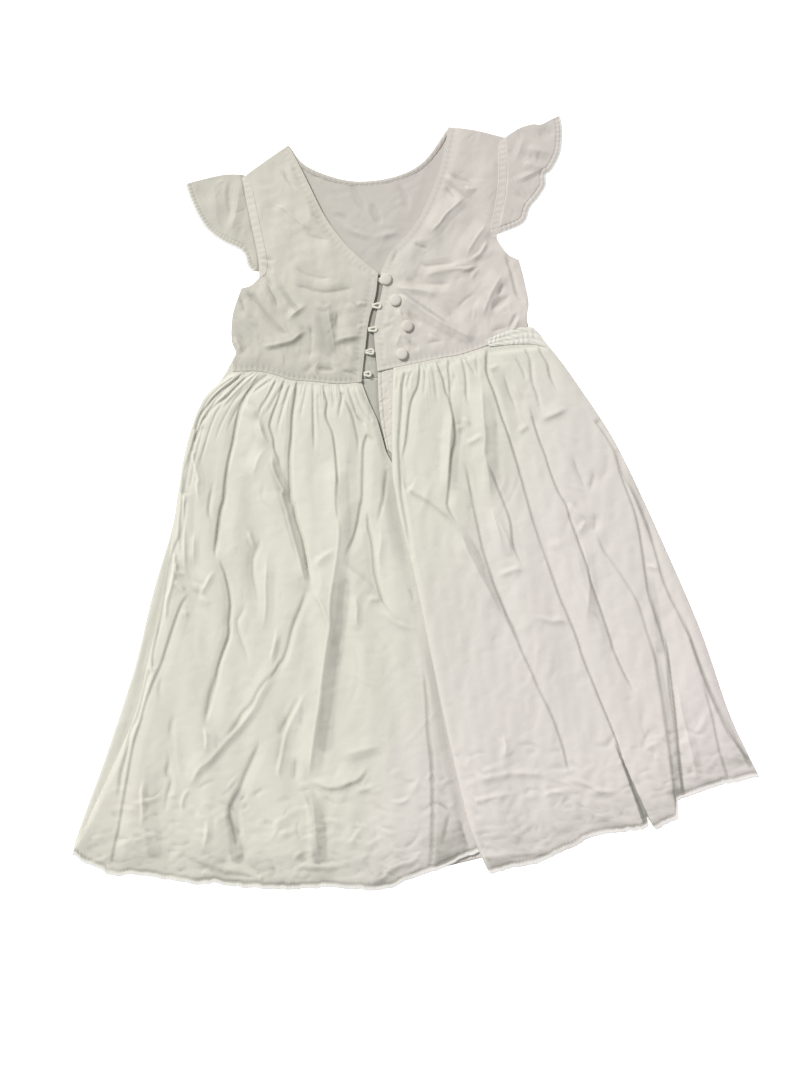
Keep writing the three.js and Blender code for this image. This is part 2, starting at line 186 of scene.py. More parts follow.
def crumple(x, y, size, count, seed):
    """Crisp low facets, as in washed cotton: triangle waves in patches, bent by a swell."""
    draw = np.random.default_rng(seed)
    z = np.zeros(x.shape)
    bend_x, bend_y = swell(x, y, size * 3, seed + 1), swell(x, y, size * 3, seed + 2)
    for _ in range(count):
        turn = draw.uniform(0, math.pi)
        wave = size * draw.uniform(0.7, 1.6)
        run = (x + size * bend_x) * math.cos(turn) + (y + size * bend_y) * math.sin(turn)
        patchy = smooth(0.5 + 2.2 * swell(x, y, size * 2.5, int(draw.integers(1000))))
        z += patchy * (np.abs((run / wave + draw.uniform()) % 1 - 0.5) * 2 - 0.5) * wave / size
    return z / count


def inner_shade(x, y, rows):
    """How dark each place is that lies inside a deep fold."""
    total = np.zeros(x.shape)
    for strength, start, end, *points in rows:
        d, share = distance(x, y, spline(points, 5))
        half = start + (end - start) * share
        ends = smooth(share * 5) * (1 if end > start else smooth((1 - share) * 4))
        soft = 1.2 if strength > 1.5 else 1.2 + 0.5 * half
        total += strength * ends * smooth((half + soft / 2 - np.abs(d)) / soft)
    return total


# ------------------------------------------------------------------------------ making meshes

def mesh_piece(name, points, faces, material, shade=None):
    """A mesh object from points in the tables' millimetres, in the place of the node so named."""
    mesh = bpy.data.meshes.new(name)
    mesh.vertices.add(len(points))
    mesh.vertices.foreach_set("co", (points * MM + np.array(ORIGIN)).astype(np.float32).ravel())
    faces = np.asarray(faces, np.int32)
    mesh.loops.add(faces.size)
    mesh.loops.foreach_set("vertex_index", faces.ravel())
    mesh.polygons.add(len(faces))
    mesh.polygons.foreach_set("loop_start", np.arange(0, faces.size, faces.shape[1], dtype=np.int32))
    mesh.update(calc_edges=True)
    mesh.validate()
    if shade is not None:
        attribute = mesh.attributes.new("shade", "FLOAT", "POINT")
        attribute.data.foreach_set("value", shade.astype(np.float32))
    mesh.polygons.foreach_set("use_smooth", np.ones(len(mesh.polygons), bool))
    mesh.materials.append(material)
    piece = bpy.data.objects.new(name, mesh)
    bpy.context.scene.collection.objects.link(piece)
    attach(piece, "root")
    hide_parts(name)
    return piece


def shifted(z, axis, reach):
    """The grid moved along an axis by up to reach points each way, its rim repeated."""
    wide = np.pad(z, [(reach, reach) if k == axis else (0, 0) for k in (0, 1)], mode="edge")
    return [wide.take(range(k, k + z.shape[axis]), axis) for k in range(2 * reach + 1)]


def lowest(z):
    """The lowest height among each point and those around it."""
    for axis in (0, 1):
        z = np.min(shifted(z, axis, 2), axis=0)
    return z


def rows_of(*columns):
    """Equal grids of numbers as the columns of one table."""
    return np.stack(columns, -1).reshape(-1, len(columns))


def triangles(index, flip=False):
    a, b, c, d = index[:-1, :-1], index[1:, :-1], index[1:, 1:], index[:-1, 1:]
    faces = np.concatenate([rows_of(a, b, c), rows_of(a, c, d)])
    return faces[:, ::-1] if flip else faces


def border(index):
    """The indices round a grid, anticlockwise as seen from above, back to the first."""
    return np.concatenate([index[:-1, 0], index[-1, :-1], index[:0:-1, -1], index[0, :0:-1], index[:1, 0]])


def hollows(z):
    """How deep each point lies below the cloth close round it, from 0 to 1."""
    mean = z
    for axis in (0, 1):
        mean = np.mean(shifted(mean, axis, 3), axis=0)
    return np.clip((mean - z) / FULL_HOLLOW, 0, 1)


def shell(name, x, y, z, material, thickness=CLOTH, floor=0.0, tone=0.0):
    """Cloth on a grid of points (odd numbers of them each way): z is its upper side, and a
    coarser underside lies just below it. Its hollows get painted shade; tone paints further light and shade,
    darker below 0 and lighter above."""
    under = np.maximum(lowest(z) - thickness, floor)
    half = (slice(None, None, 2), slice(None, None, 2))
    points = np.concatenate([rows_of(x, y, z), rows_of(x[half], y[half], under[half])])
    upper = np.arange(x.size).reshape(x.shape)
    lower = np.arange(x[half].size).reshape(x[half].shape) + x.size
    rim, under_rim = border(upper), border(lower)
    first, mid, last = rim[:-1:2], rim[1::2], rim[2::2]
    below, after = under_rim[:-1], under_rim[1:]
    wall = np.concatenate([rows_of(first, below, mid), rows_of(below, after, mid),
                           rows_of(mid, after, last)])
    faces = np.concatenate([triangles(upper), triangles(lower, flip=True), wall])
    tone = tone + np.zeros(z.shape)
    # painted shade: hollows darken the colour, except where tone paints a highlight
    shade = np.where(tone > 0, tone, tone - hollows(z))
    shade = np.concatenate([shade.ravel(), np.zeros(x[half].size)])
    return mesh_piece(name, points, faces, material, shade)


def tube(path, radius, sides):
    """Points and quads of a round cord along a path of 3-D points; its ends are left open."""
    path = np.asarray(path, float)
    points = []
    for k, at in enumerate(path):
        way = path[min(k + 1, len(path) - 1)] - path[max(k - 1, 0)]
        way /= np.linalg.norm(way)
        side = np.cross(way, [0, 0, 1])
        side /= np.linalg.norm(side)
        up = np.cross(side, way)
        for s in range(sides):
            turn = 2 * math.pi * s / sides
            points.append(at + radius * (math.cos(turn) * side + math.sin(turn) * up))
    quads = []
    for k in range(len(path) - 1):
        for s in range(sides):
            n = (s + 1) % sides
            quads.append((k * sides + s, k * sides + n, (k + 1) * sides + n, (k + 1) * sides + s))
    return np.array(points), np.array(quads)


# ---------------------------------------------------------------------------------- materials

CREAM = (0.765, 0.748, 0.652)
# painted shade: the bodice's cream and pink are greyer than the skirt's, for the weaker light on the bodice
SHADED_CREAM_ABOVE = (0.715, 0.685, 0.60)      # the bodice is a touch greyer than the skirt
# painted shade: the inside of the back, seen through the neck and the front opening, is a darker copy of the
# cream
SHADED_CREAM_INSIDE = (0.635, 0.603, 0.54)
PINKISH = (0.785, 0.722, 0.70)
SHADED_PINK_ABOVE = (0.725, 0.672, 0.632)
STAIN = (0.74, 0.60, 0.52)
STAINS = [(-54, 89, 12), (-290, -400, 26), (-318, -398, 14)]    # place and radius of each
# painted highlight: the near-white that rolled rims and the casing's raised turn are lightened towards
RIM_HIGHLIGHT = (0.97, 0.96, 0.93)
WEAVE_DEPTH = 0.05


def cloth_material(name, cream=CREAM, pinkish=PINKISH, tint=1.0, crinkle=0.22):
    material = bpy.data.materials.new(name)
    material.use_nodes = True
    tree = material.node_tree
    nodes, links = tree.nodes, tree.links
    shader = nodes["Principled BSDF"]
    shader.inputs["Roughness"].default_value = 0.88
    shader.inputs["Specular IOR Level"].default_value = 0.25
    shader.inputs["Sheen Weight"].default_value = 0.12
    shader.inputs["Sheen Roughness"].default_value = 0.5
    place = nodes.new("ShaderNodeTexCoord").outputs["Object"]

    def noise(scale, detail, distortion=0.0):
        node = nodes.new("ShaderNodeTexNoise")
        node.inputs["Scale"].default_value = scale
        node.inputs["Detail"].default_value = detail
        node.inputs["Distortion"].default_value = distortion
        links.new(place, node.inputs["Vector"])
        return node.outputs["Fac"]

    def feed(socket, value):
        """Links a socket to another one, or gives it a colour or a number."""
        if isinstance(value, bpy.types.NodeSocket):
            links.new(value, socket)
        elif isinstance(value, tuple):
            socket.default_value = (*value, 1)
        else:
            socket.default_value = value

    def mix(fac, a, b):
        node = nodes.new("ShaderNodeMix")
        node.data_type = "RGBA"
        for key, value in (("Factor", fac), ("A", a), ("B", b)):
            feed(node.inputs[key], value)
        return node.outputs["Result"]

    def ramp(value, low, high, to_low=0.0, to_high=1.0):
        node = nodes.new("ShaderNodeMapRange")
        for key, number in (("From Min", low), ("From Max", high), ("To Min", to_low), ("To Max", to_high)):
            node.inputs[key].default_value = number
        links.new(value, node.inputs["Value"])
        return node.outputs["Result"]

    def math_node(kind, a, b):
        node = nodes.new("ShaderNodeMath")
        node.operation = kind
        for socket, value in zip(node.inputs, (a, b)):
            feed(socket, value)
        return node.outputs[0]

    split = nodes.new("ShaderNodeSeparateXYZ")
    links.new(place, split.inputs[0])
    # Pinker to the wearer's left and towards the hem, in broad patches.
    slope = math_node("SUBTRACT", split.outputs["X"], math_node("MULTIPLY", split.outputs["Y"], 0.55))
    slope = math_node("ADD", slope, math_node("MULTIPLY", noise(7, 2), 0.15))
    if cream is not CREAM:
        slope = math_node("ADD", math_node("MULTIPLY", split.outputs["X"], 1.6), 0.14)
    pink = math_node("ADD", ramp(slope, 0.12, 0.22, 0, 0.5), ramp(slope, 0.22, 0.54, 0, 0.5))
    colour = mix(pink, tuple(c * tint for c in cream), tuple(c * tint for c in pinkish))
    for sx, sy, size in STAINS:
        away = nodes.new("ShaderNodeVectorMath")
        away.operation = "DISTANCE"
        links.new(place, away.inputs[0])
        away.inputs[1].default_value = Vector((sx, sy, FRONT_Z)) * MM + ORIGIN
        spot = ramp(away.outputs["Value"], size * MM, size * 0.2 * MM, 0, 0.22)
        spot = math_node("MULTIPLY", spot, noise(90, 3))
        colour = mix(spot, colour, tuple(c * tint for c in STAIN))
    colour = mix(ramp(noise(140, 4), 0.3, 0.7, 0, 0.05), colour, tuple(c * tint * 0.9 for c in cream))
    # The shade attribute paints light and shade into the colour: painted shade below 0, a little darker down
    # to -1 and much darker down to -3, and a painted highlight above 0.
    shade = nodes.new("ShaderNodeAttribute")
    shade.attribute_name = "shade"
    colour = mix(ramp(shade.outputs["Fac"], 0, -1, 0, 0.2), colour, tuple(c * 0.55 for c in cream))
    colour = mix(ramp(shade.outputs["Fac"], -1, -3, 0, 0.9), colour, tuple(c * 0.42 for c in CREAM))
    colour = mix(ramp(shade.outputs["Fac"], 0, 1, 0, 1), colour, RIM_HIGHLIGHT)
    links.new(colour, shader.inputs["Base Color"])

    # Woven threads, about 0.45 mm apart, and the fine crinkle of washed cotton.
    threads = []
    for axis in ("X", "Y"):
        wave = nodes.new("ShaderNodeTexWave")
        wave.bands_direction = axis
        wave.inputs["Scale"].default_value = 700
        wave.inputs["Distortion"].default_value = 1.2
        wave.inputs["Detail"].default_value = 1
        links.new(place, wave.inputs["Vector"])
        threads.append(wave.outputs["Fac"])
    woven = math_node("MAXIMUM", *threads)
    bump = None
    for value, strength, depth in ((noise(60, 5, 0.6), crinkle, 2.2), (noise(320, 4, 0.3), 0.2, 0.4),
                                   (woven, 0.3, WEAVE_DEPTH)):
        node = nodes.new("ShaderNodeBump")
        node.inputs["Strength"].default_value = strength
        node.inputs["Distance"].default_value = depth * MM
        links.new(value, node.inputs["Height"])
        if bump is not None:
            links.new(bump, node.inputs["Normal"])
        bump = node.outputs["Normal"]
    links.new(bump, shader.inputs["Normal"])
    return material


cotton = cloth_material("white_cotton")
# The bodice's cloth, its ruffles and trims take the greyer cream and pink: painted shade.
shaded_bodice_cotton = cloth_material("shaded_bodice_cotton", SHADED_CREAM_ABOVE, SHADED_PINK_ABOVE)
ruffle_cotton = cloth_material("ruffle_cotton", SHADED_CREAM_ABOVE, SHADED_PINK_ABOVE, tint=0.97)
shaded_inner_cotton = cloth_material("shaded_inner_cotton", SHADED_CREAM_INSIDE, tuple(c * 0.9 for c in SHADED_PINK_ABOVE))
trim_cotton = cloth_material("trim_cotton", SHADED_CREAM_ABOVE, SHADED_PINK_ABOVE, tint=1.05, crinkle=0.1)
loop_cotton = cloth_material("loop_cotton", tint=1.08, crinkle=0.0)


# ------------------------------------------------------------------------------------ outlines

NECK_LEFT, NECK_RIGHT = (-72, 239), (89, 240)
SHOULDER_LEFT, SHOULDER_RIGHT = (-122, 210), (146, 223)
V_LEFT, V_RIGHT = (4, 102), (6, 101)
WAIST_SIDE_LEFT, WAIST_SLIT_LEFT = (-151, 19), (-24, -5)
WAIST_SLIT_RIGHT, WAIST_LAP, WAIST_SIDE_RIGHT = (-7, 4), (9, 6), (147, 25)
HEM_SIDE_LEFT, HEM_UNDERLAP, HEM_LAP, HEM_SIDE_RIGHT = (-362, -445), (62, -484), (51, -506), (330, -438)

ARMHOLE_LEFT = [SHOULDER_LEFT, (-118, 170), (-114, 130), (-115, 110)]
ARMHOLE_RIGHT = [SHOULDER_RIGHT, (141, 179), (133, 147), (125, 124)]
UNDERARM_LEFT = [(-115, 110), (-124, 103), (-134, 101)]
UNDERARM_RIGHT = [(125, 124), (134, 108), (145, 100)]
SIDE_LEFT = [(-134, 101), (-145, 76), (-149, 51), (-146, 38), (-150, 30), WAIST_SIDE_LEFT]
SIDE_RIGHT = [(145, 100), (148, 80), (150, 57), (147, 43), WAIST_SIDE_RIGHT]
NECK_FRONT_LEFT = [NECK_LEFT, (-60, 209), (-44, 166), (-28, 138), (-13, 119), V_LEFT]
NECK_FRONT_RIGHT = [NECK_RIGHT, (76, 200), (57, 163), (40, 141), (18, 121), V_RIGHT]
OPENING_LEFT = [V_LEFT, (-1, 80), (-10, 57), (-16, 32), (-21, 10), WAIST_SLIT_LEFT]
OPENING_RIGHT = [V_RIGHT, (7, 88), (-2, 62), (-6, 46), (-7, 31), WAIST_SLIT_RIGHT]
WAIST_LEFT = [WAIST_SIDE_LEFT, (-127, 17), (-108, 11), (-94, 5), (-74, 1), (-48, -4), WAIST_SLIT_LEFT]
WAIST_RIGHT = [WAIST_LAP, (40, 9), (60, 11), (75, 12), (99, 17), (125, 24), WAIST_SIDE_RIGHT]
NECK_BACK = [NECK_LEFT, (-57, 217), (-24, 200), (5, 195), (36, 198), (62, 210), NECK_RIGHT]
SLIT_LEFT = [WAIST_SLIT_LEFT, (-19, -24), (-13, -42), (-10, -57), (-7, -76)]
UNDERLAP = [(-7, -76), (14, -135), (36, -300), HEM_UNDERLAP]
LAP = [WAIST_LAP, (2, -45), (-3, -99), (-2, -119), (0, -147), (7, -196), (16, -281), (22, -341),
       (29, -403), (37, -460), HEM_LAP]
SKIRT_SIDE_LEFT = [WAIST_SIDE_LEFT, (-176, 2), (-190, -17), (-207, -60), (-222, -115), (-233, -156),
                   (-245, -201), (-264, -255), (-284, -311), (-316, -368), HEM_SIDE_LEFT]
SKIRT_SIDE_RIGHT = [WAIST_SIDE_RIGHT, (163, 14), (176, -4), (194, -36), (216, -78), (233, -120),
                    (261, -203), (287, -287), (306, -369), (320, -411), HEM_SIDE_RIGHT]
BACK_SIDE_LEFT = [(-160, 18), (-190, -15), (-207, -54), (-218, -93), (-229, -132), (-253, -190),
                  (-281, -267), (-315, -344), (-353, -422), HEM_SIDE_LEFT]
HEM_LEFT = [HEM_SIDE_LEFT, (-343, -456), (-325, -468), (-302, -470), (-269, -478), (-242, -486),
            (-218, -490), (-164, -499), (-109, -504), (-66, -511), (-42, -509), (-11, -500),
            (9, -495), (40, -486), HEM_UNDERLAP]
HEM_RIGHT = [[HEM_LAP, (75, -504), (103, -500), (136, -489), (160, -481), (209, -478), (217, -470)],
             [(217, -470), (223, -479), (244, -472)], [(244, -472), (246, -453)],
             [(246, -453), (255, -451), (293, -443), HEM_SIDE_RIGHT]]


def ragged(line, amount, seed):
    """The line with small irregular waves, as a rolled hem has."""
    draw = np.random.default_rng(seed)
    line = along(line, np.linspace(0, 1, 500))
    way = np.gradient(line, axis=0)
    way /= np.linalg.norm(way, axis=1)[:, None]
    noise = sum(np.interp(np.linspace(0, 1, 500), np.linspace(0, 1, n), draw.normal(size=n)) * size
                for n, size in ((28, 0.8), (90, 0.5)))
    noise[[0, -1]] = 0
    return line + np.stack([-way[:, 1], way[:, 0]], -1) * (noise * amount)[:, None]


def shares(count, top=0.0, bottom=0.0):
    """Shares from 0 to 1, closer together at the ends that ask for it."""
    t = np.linspace(0, 1, count)
    spacing = 1 - top * np.exp(-t / 0.08) - bottom * np.exp(-(1 - t) / 0.05)
    steps = (spacing[1:] + spacing[:-1]) / 2
    return np.r_[0, np.cumsum(steps) / steps.sum()]


# ------------------------------------------------------------------------------------- folds
# Rows: height, width of the left flank, width of the right flank, then the line from the top.

CREASES_LEFT = [
    # gathers at the far left, sweeping down along the side
    (-1.9, 2, 2.4, (-137, 18), (-148, 11), (-161, 3), (-172, -5), (-180, -13), (-189, -23),
     (-195, -36)),
    (-1.0, 2.2, 3, (-133, 19), (-145, 10), (-157, 2), (-168, -5), (-176, -13), (-184, -21)),
    (-1.9, 2, 2.4, (-129, 17), (-140, 10), (-152, 1), (-162, -7), (-172, -13), (-183, -23),
     (-191, -35), (-197, -48)),
    (-0.9, 2.2, 3, (-125, 16), (-137, 8), (-147, -1), (-156, -9), (-165, -16), (-173, -22)),
    (-0.9, 2.2, 3, (-122, 14), (-134, 5), (-144, -3), (-154, -11), (-159, -16)),
    (-1.0, 2.2, 3, (-112, 8), (-123, 2), (-132, -3), (-138, -7)),
    # the long creases
    (-1.8, 2.4, 16, (-116, 13), (-124, 8), (-132, 2), (-139, -5), (-143, -11), (-148, -20),
     (-153, -35), (-158, -52), (-164, -69), (-169, -87), (-173, -107), (-177, -117), (-181, -132),
     (-185, -149), (-187, -159), (-187, -169)),
    (-1.5, 9, 3, (-116, 13), (-124, 8), (-132, 2), (-139, -5), (-143, -11), (-148, -20), (-153, -35),
     (-158, -52), (-164, -69), (-169, -87), (-173, -107), (-177, -117), (-181, -132), (-185, -149),
     (-187, -159), (-187, -169)),
    (-1.6, 2.4, 16, (-184, -163), (-181, -175), (-179, -182), (-177, -198), (-177, -213),
     (-180, -228), (-182, -243), (-189, -258), (-196, -274), (-199, -285), (-206, -301),
     (-211, -316), (-217, -331)),
    (-1.3, 7, 3, (-184, -163), (-181, -175), (-179, -182), (-177, -198), (-177, -213), (-180, -228),
     (-182, -243), (-189, -258), (-196, -274), (-199, -285), (-206, -301), (-211, -316),
     (-217, -331)),
    (-0.9, 2.2, 3, (-191, -268), (-202, -286), (-209, -303), (-214, -318), (-217, -329)),
    (-1.0, 2.2, 3, (-108, 6), (-114, -3), (-121, -13), (-127, -21), (-131, -30)),
    (-0.9, 2.2, 3, (-101, 2), (-109, -8), (-116, -18), (-121, -24), (-129, -31)),
    (-1.4, 2.2, 9, (-100, 6), (-104, -4), (-110, -17), (-115, -27), (-119, -37), (-119, -42),
     (-117, -52), (-117, -62), (-114, -74), (-113, -86)),
    (3.6, 26, 7, (-120, -59), (-120, -69), (-121, -79), (-118, -91), (-113, -104), (-115, -108),
     (-112, -124), (-110, -140), (-107, -157), (-104, -176), (-102, -190), (-100, -200),
     (-98, -207)),
    (-1.7, 2.4, 16, (-88, 3), (-90, -9), (-93, -20), (-96, -32), (-99, -52), (-103, -72),
     (-105, -94), (-106, -115), (-104, -119), (-103, -133), (-100, -147), (-98, -159), (-97, -178),
     (-96, -194), (-95, -203)),
    (-1.4, 6, 3, (-88, 3), (-90, -9), (-93, -20), (-96, -32), (-99, -52), (-103, -72), (-105, -94),
     (-106, -115), (-104, -119), (-103, -133), (-100, -147), (-98, -159), (-97, -178), (-96, -194),
     (-95, -203)),
    (-1.5, 3.2, 5.5, (-97, -200), (-101, -207), (-106, -219), (-114, -234), (-119, -245),
     (-124, -259), (-130, -272), (-134, -276), (-142, -285), (-153, -295), (-159, -302),
     (-166, -313), (-175, -320), (-182, -329), (-192, -339), (-201, -345)),
    (2.2, 14, 6, (-129, -263), (-142, -283), (-158, -304), (-167, -319), (-182, -335), (-199, -350),
     (-214, -364), (-225, -371), (-234, -383), (-243, -394)),
    (1.6, 2.6, 13.2, (-96, -203), (-91, -212), (-86, -223), (-83, -234), (-81, -245)),
    (-1.0, 2.2, 3, (-94, 1), (-99, -8), (-103, -18), (-107, -28), (-111, -39), (-114, -51)),
    (-0.7, 2.2, 3, (-96, 4), (-97, -5), (-101, -14), (-106, -20), (-108, -28)),
    (-0.8, 2.2, 3, (-79, -1), (-82, -13), (-87, -27), (-89, -41)),
    (-0.7, 2.2, 3, (-83, 2), (-86, -9), (-90, -19), (-91, -29)),
    (-1.0, 2.2, 3.5, (-72, 0), (-75, -31), (-77, -54), (-79, -73)),
    (-0.7, 2.2, 3.5, (-69, -12), (-70, -31), (-70, -46)),
    (-1.7, 2.2, 9, (-63, -3), (-61, -15), (-60, -22), (-62, -31), (-62, -38), (-58, -51), (-57, -62),
     (-57, -80), (-58, -101), (-59, -104), (-61, -121), (-61, -138), (-60, -152)),
    (3.9, 22, 12, (-59, -77), (-60, -100), (-60, -104), (-61, -121), (-61, -138), (-63, -156),
     (-66, -171), (-70, -187), (-75, -205), (-79, -222), (-81, -242), (-84, -254), (-89, -272),
     (-95, -297), (-100, -320), (-107, -346), (-113, -371), (-119, -395)),
    (-0.9, 2.2, 3, (-55, -1), (-54, -13), (-54, -23), (-58, -31)),
    (-1.0, 2.2, 3, (-48, -4), (-45, -16), (-49, -31), (-51, -41)),
    (-1.0, 2.2, 3, (-45, -12), (-41, -24), (-37, -35), (-35, -50), (-34, -65), (-37, -79)),
    (-1.0, 2.2, 3, (-38, -8), (-35, -23), (-32, -38), (-25, -47)),
    (-0.9, 2.2, 3, (-26, -5), (-22, -20), (-16, -34), (-13, -45)),
    (-0.7, 2.2, 3, (-33, -10), (-28, -26), (-21, -40), (-17, -46)),
    (-1.6, 2.2, 9, (-23, -57), (-28, -68), (-30, -80), (-33, -103), (-35, -119), (-39, -132),
     (-43, -146), (-49, -161), (-56, -172), (-60, -181)),
    (-1.1, 2.7, 3, (-8, -94), (-12, -111), (-14, -121), (-19, -136), (-25, -151)),
    (-1.4, 2.4, 16, (-31, -129), (-32, -147), (-30, -164), (-30, -181), (-30, -197), (-28, -211),
     (-25, -224), (-21, -233), (-17, -241)),
    (-1.2, 8, 3, (-31, -129), (-32, -147), (-30, -164), (-30, -181), (-30, -197), (-28, -211),
     (-25, -224), (-21, -233), (-17, -241)),
    (1.8, 9.5, 3.3, (-65, -184), (-60, -187), (-53, -194), (-41, -205), (-33, -214), (-25, -221)),
    (1.2, 2.6, 6.6, (-42, -225), (-37, -222), (-32, -222), (-25, -224)),
    (1.2, 3.7, 3.3, (-35, -233), (-23, -239), (-15, -247), (-6, -252), (7, -257)),
    (1.2, 8, 6, (-20, -145), (-21, -164), (-25, -182), (-22, -201)),
    (-1.0, 2.7, 4.2, (0, -214), (4, -220), (6, -230)),
    (1.5, 10.5, 5.5, (-54, -213), (-52, -227), (-54, -241), (-53, -253)),
    # the side, its pressed zig-zags and the strip down to the corner
    (-1.4, 2.2, 9, (-185, -31), (-194, -42), (-200, -55), (-205, -65), (-210, -76), (-215, -108),
     (-218, -124), (-221, -140), (-225, -146), (-231, -158), (-236, -170), (-242, -194),
     (-248, -218), (-253, -233), (-259, -252), (-261, -268)),
    (-1.0, 2.2, 3, (-211, -104), (-215, -124), (-219, -139), (-221, -150), (-219, -164)),
    (1.2, 3.2, 3.3, (-228, -155), (-229, -167), (-233, -184), (-241, -203), (-243, -218)),
    (-1.4, 2.2, 9, (-213, -191), (-219, -199), (-225, -206), (-230, -215), (-237, -230),
     (-244, -246), (-252, -264), (-261, -280), (-272, -302), (-279, -321), (-287, -339),
     (-293, -358), (-297, -373), (-304, -397), (-311, -422), (-317, -439), (-323, -457)),
    (-1.4, 3.6, 4.2, (-264, -268), (-272, -287), (-281, -313), (-290, -327), (-295, -346),
     (-303, -368), (-306, -380), (-310, -397)),
    (1.1, 2.6, 2.8, (-227, -164), (-227, -174), (-219, -177), (-215, -184)),
    (1.1, 3.2, 3.3, (-231, -183), (-224, -190), (-223, -196)),
    (1.2, 4.2, 3.3, (-214, -187), (-207, -191), (-200, -195)),
    (1.5, 3.2, 5.5, (-188, -175), (-195, -183), (-202, -193), (-209, -202)),
    (1.1, 3.2, 4.4, (-209, -200), (-202, -206), (-196, -211)),
    (1.1, 3.2, 3.3, (-226, -213), (-223, -216), (-220, -219)),
    (2.5, 9, 9, (-212, -96), (-216, -135), (-218, -159), (-220, -181)),
    (1.6, 5.2, 5.5, (-205, -133), (-208, -151), (-210, -171)),
    (-1.1, 2.7, 4.2, (-181, -86), (-188, -110), (-189, -122), (-185, -133)),
    (1.4, 3.2, 6.6, (-200, -55), (-198, -71), (-196, -85), (-198, -90), (-198, -112)),
    (1.2, 4.2, 3.3, (-153, -138), (-150, -149), (-146, -160)),
    (-1.4, 6.3, 4.4, (-140, -143), (-143, -155), (-148, -164), (-151, -172), (-152, -188),
     (-151, -200), (-150, -213)),
    (-1.0, 5.2, 4.4, (-159, -206), (-168, -222), (-173, -232), (-170, -252), (-167, -264),
     (-166, -278)),
    (1.9, 8, 8, (-137, -163), (-138, -180), (-141, -198), (-143, -220), (-149, -242)),
    (1.2, 3.2, 4.4, (-133, -236), (-136, -251), (-141, -266), (-144, -280)),
    (1.5, 6.3, 5.5, (-93, -185), (-81, -175), (-65, -168)),
    (1.9, 6, 6, (-139, -10), (-140, -17), (-134, -25), (-131, -31)),
    (1.9, 7.4, 3.3, (-135, -31), (-130, -36), (-128, -46), (-124, -54), (-120, -54)),
    (1.7, 12, 8, (-123, -58), (-130, -64), (-137, -75), (-143, -92)),
    # low on the left half
    (-0.9, 2.7, 5.6, (-252, -275), (-257, -288), (-258, -302)),
    (-0.9, 2.7, 4.2, (-244, -313), (-250, -328), (-251, -343)),
    (-1.2, 3.6, 5.6, (-257, -348), (-255, -360), (-258, -373), (-255, -381), (-260, -396),
     (-266, -415)),
    (1.4, 3.2, 4.4, (-280, -373), (-285, -390), (-286, -407), (-290, -426)),
    (1.0, 4.2, 4.4, (-299, -400), (-280, -398), (-264, -395)),
    (1.0, 4.2, 4.4, (-295, -430), (-281, -433), (-270, -437)),
    (1.8, 3.2, 9.9, (-216, -329), (-215, -341), (-217, -356)),
    (1.1, 3.2, 3.3, (-233, -394), (-238, -392), (-245, -400), (-248, -415)),
    (-1.9, 4.2, 9.9, (-161, -345), (-165, -356), (-172, -369), (-179, -381), (-187, -396),
     (-196, -409), (-200, -420), (-198, -434), (-197, -449), (-197, -461)),
    (-1.4, 4.2, 5.5, (-118, -309), (-129, -327), (-138, -339), (-147, -350)),
    (1.5, 4.2, 8.8, (-109, -304), (-125, -327), (-135, -345), (-143, -370), (-147, -385),
     (-142, -397)),
    (-1.5, 6, 6, (-128, -368), (-130, -383), (-133, -396)),
    (1.4, 4.2, 5.5, (-223, -419), (-225, -439), (-232, -455)),
    (1.6, 3.2, 6.6, (-242, -460), (-225, -467), (-210, -474), (-193, -479), (-173, -488)),
    (1.2, 3.2, 4.4, (-234, -474), (-217, -483), (-194, -486), (-173, -489)),
    (1.1, 3.2, 3.3, (-211, -465), (-197, -462), (-187, -456)),
    (1.4, 3.2, 4.4, (-344, -454), (-330, -452), (-321, -447)),
    (2.7, 3.7, 22.0, (-122, -397), (-111, -397), (-100, -403), (-90, -404), (-79, -401), (-69, -398),
     (-62, -391), (-58, -383)),
    (2.2, 8, 16, (-85, -374), (-60, -370), (-38, -368)),
    (1.1, 5.2, 6.6, (-75, -412), (-58, -408), (-50, -405)),
    (2.2, 9, 11, (-121, -401), (-118, -411), (-116, -425), (-117, -445), (-117, -465),
     (-118, -477)),
    (-1.4, 2.7, 4.2, (8, -293), (8, -328), (6, -358), (6, -388), (4, -418), (1, -448), (-3, -475),
     (-7, -495)),
    (-1.8, 5.2, 8.8, (28, -442), (29, -459), (32, -475), (35, -487)),
    (-1.0, 3.6, 5.6, (19, -437), (13, -457), (5, -476)),
    (0.8, 2.1, 2.2, (-62, -290), (-53, -301), (-42, -309)),
    (1.0, 3.2, 3.3, (-40, -424), (-28, -426), (-17, -421)),
    (1.0, 3.2, 3.3, (-56, -448), (-43, -456), (-35, -462)),
    (1.6, 3.2, 7.7, (-68, -504), (-53, -499), (-49, -493), (-34, -488), (-22, -485), (-8, -470)),
    (1.2, 3.2, 4.4, (-38, -502), (-23, -496), (-15, -492)),
    (1.5, 3.2, 5.5, (-145, -473), (-130, -480), (-112, -482), (-94, -483), (-82, -480)),
    (1.1, 3.2, 3.3, (-143, -473), (-137, -468), (-130, -465)),
]

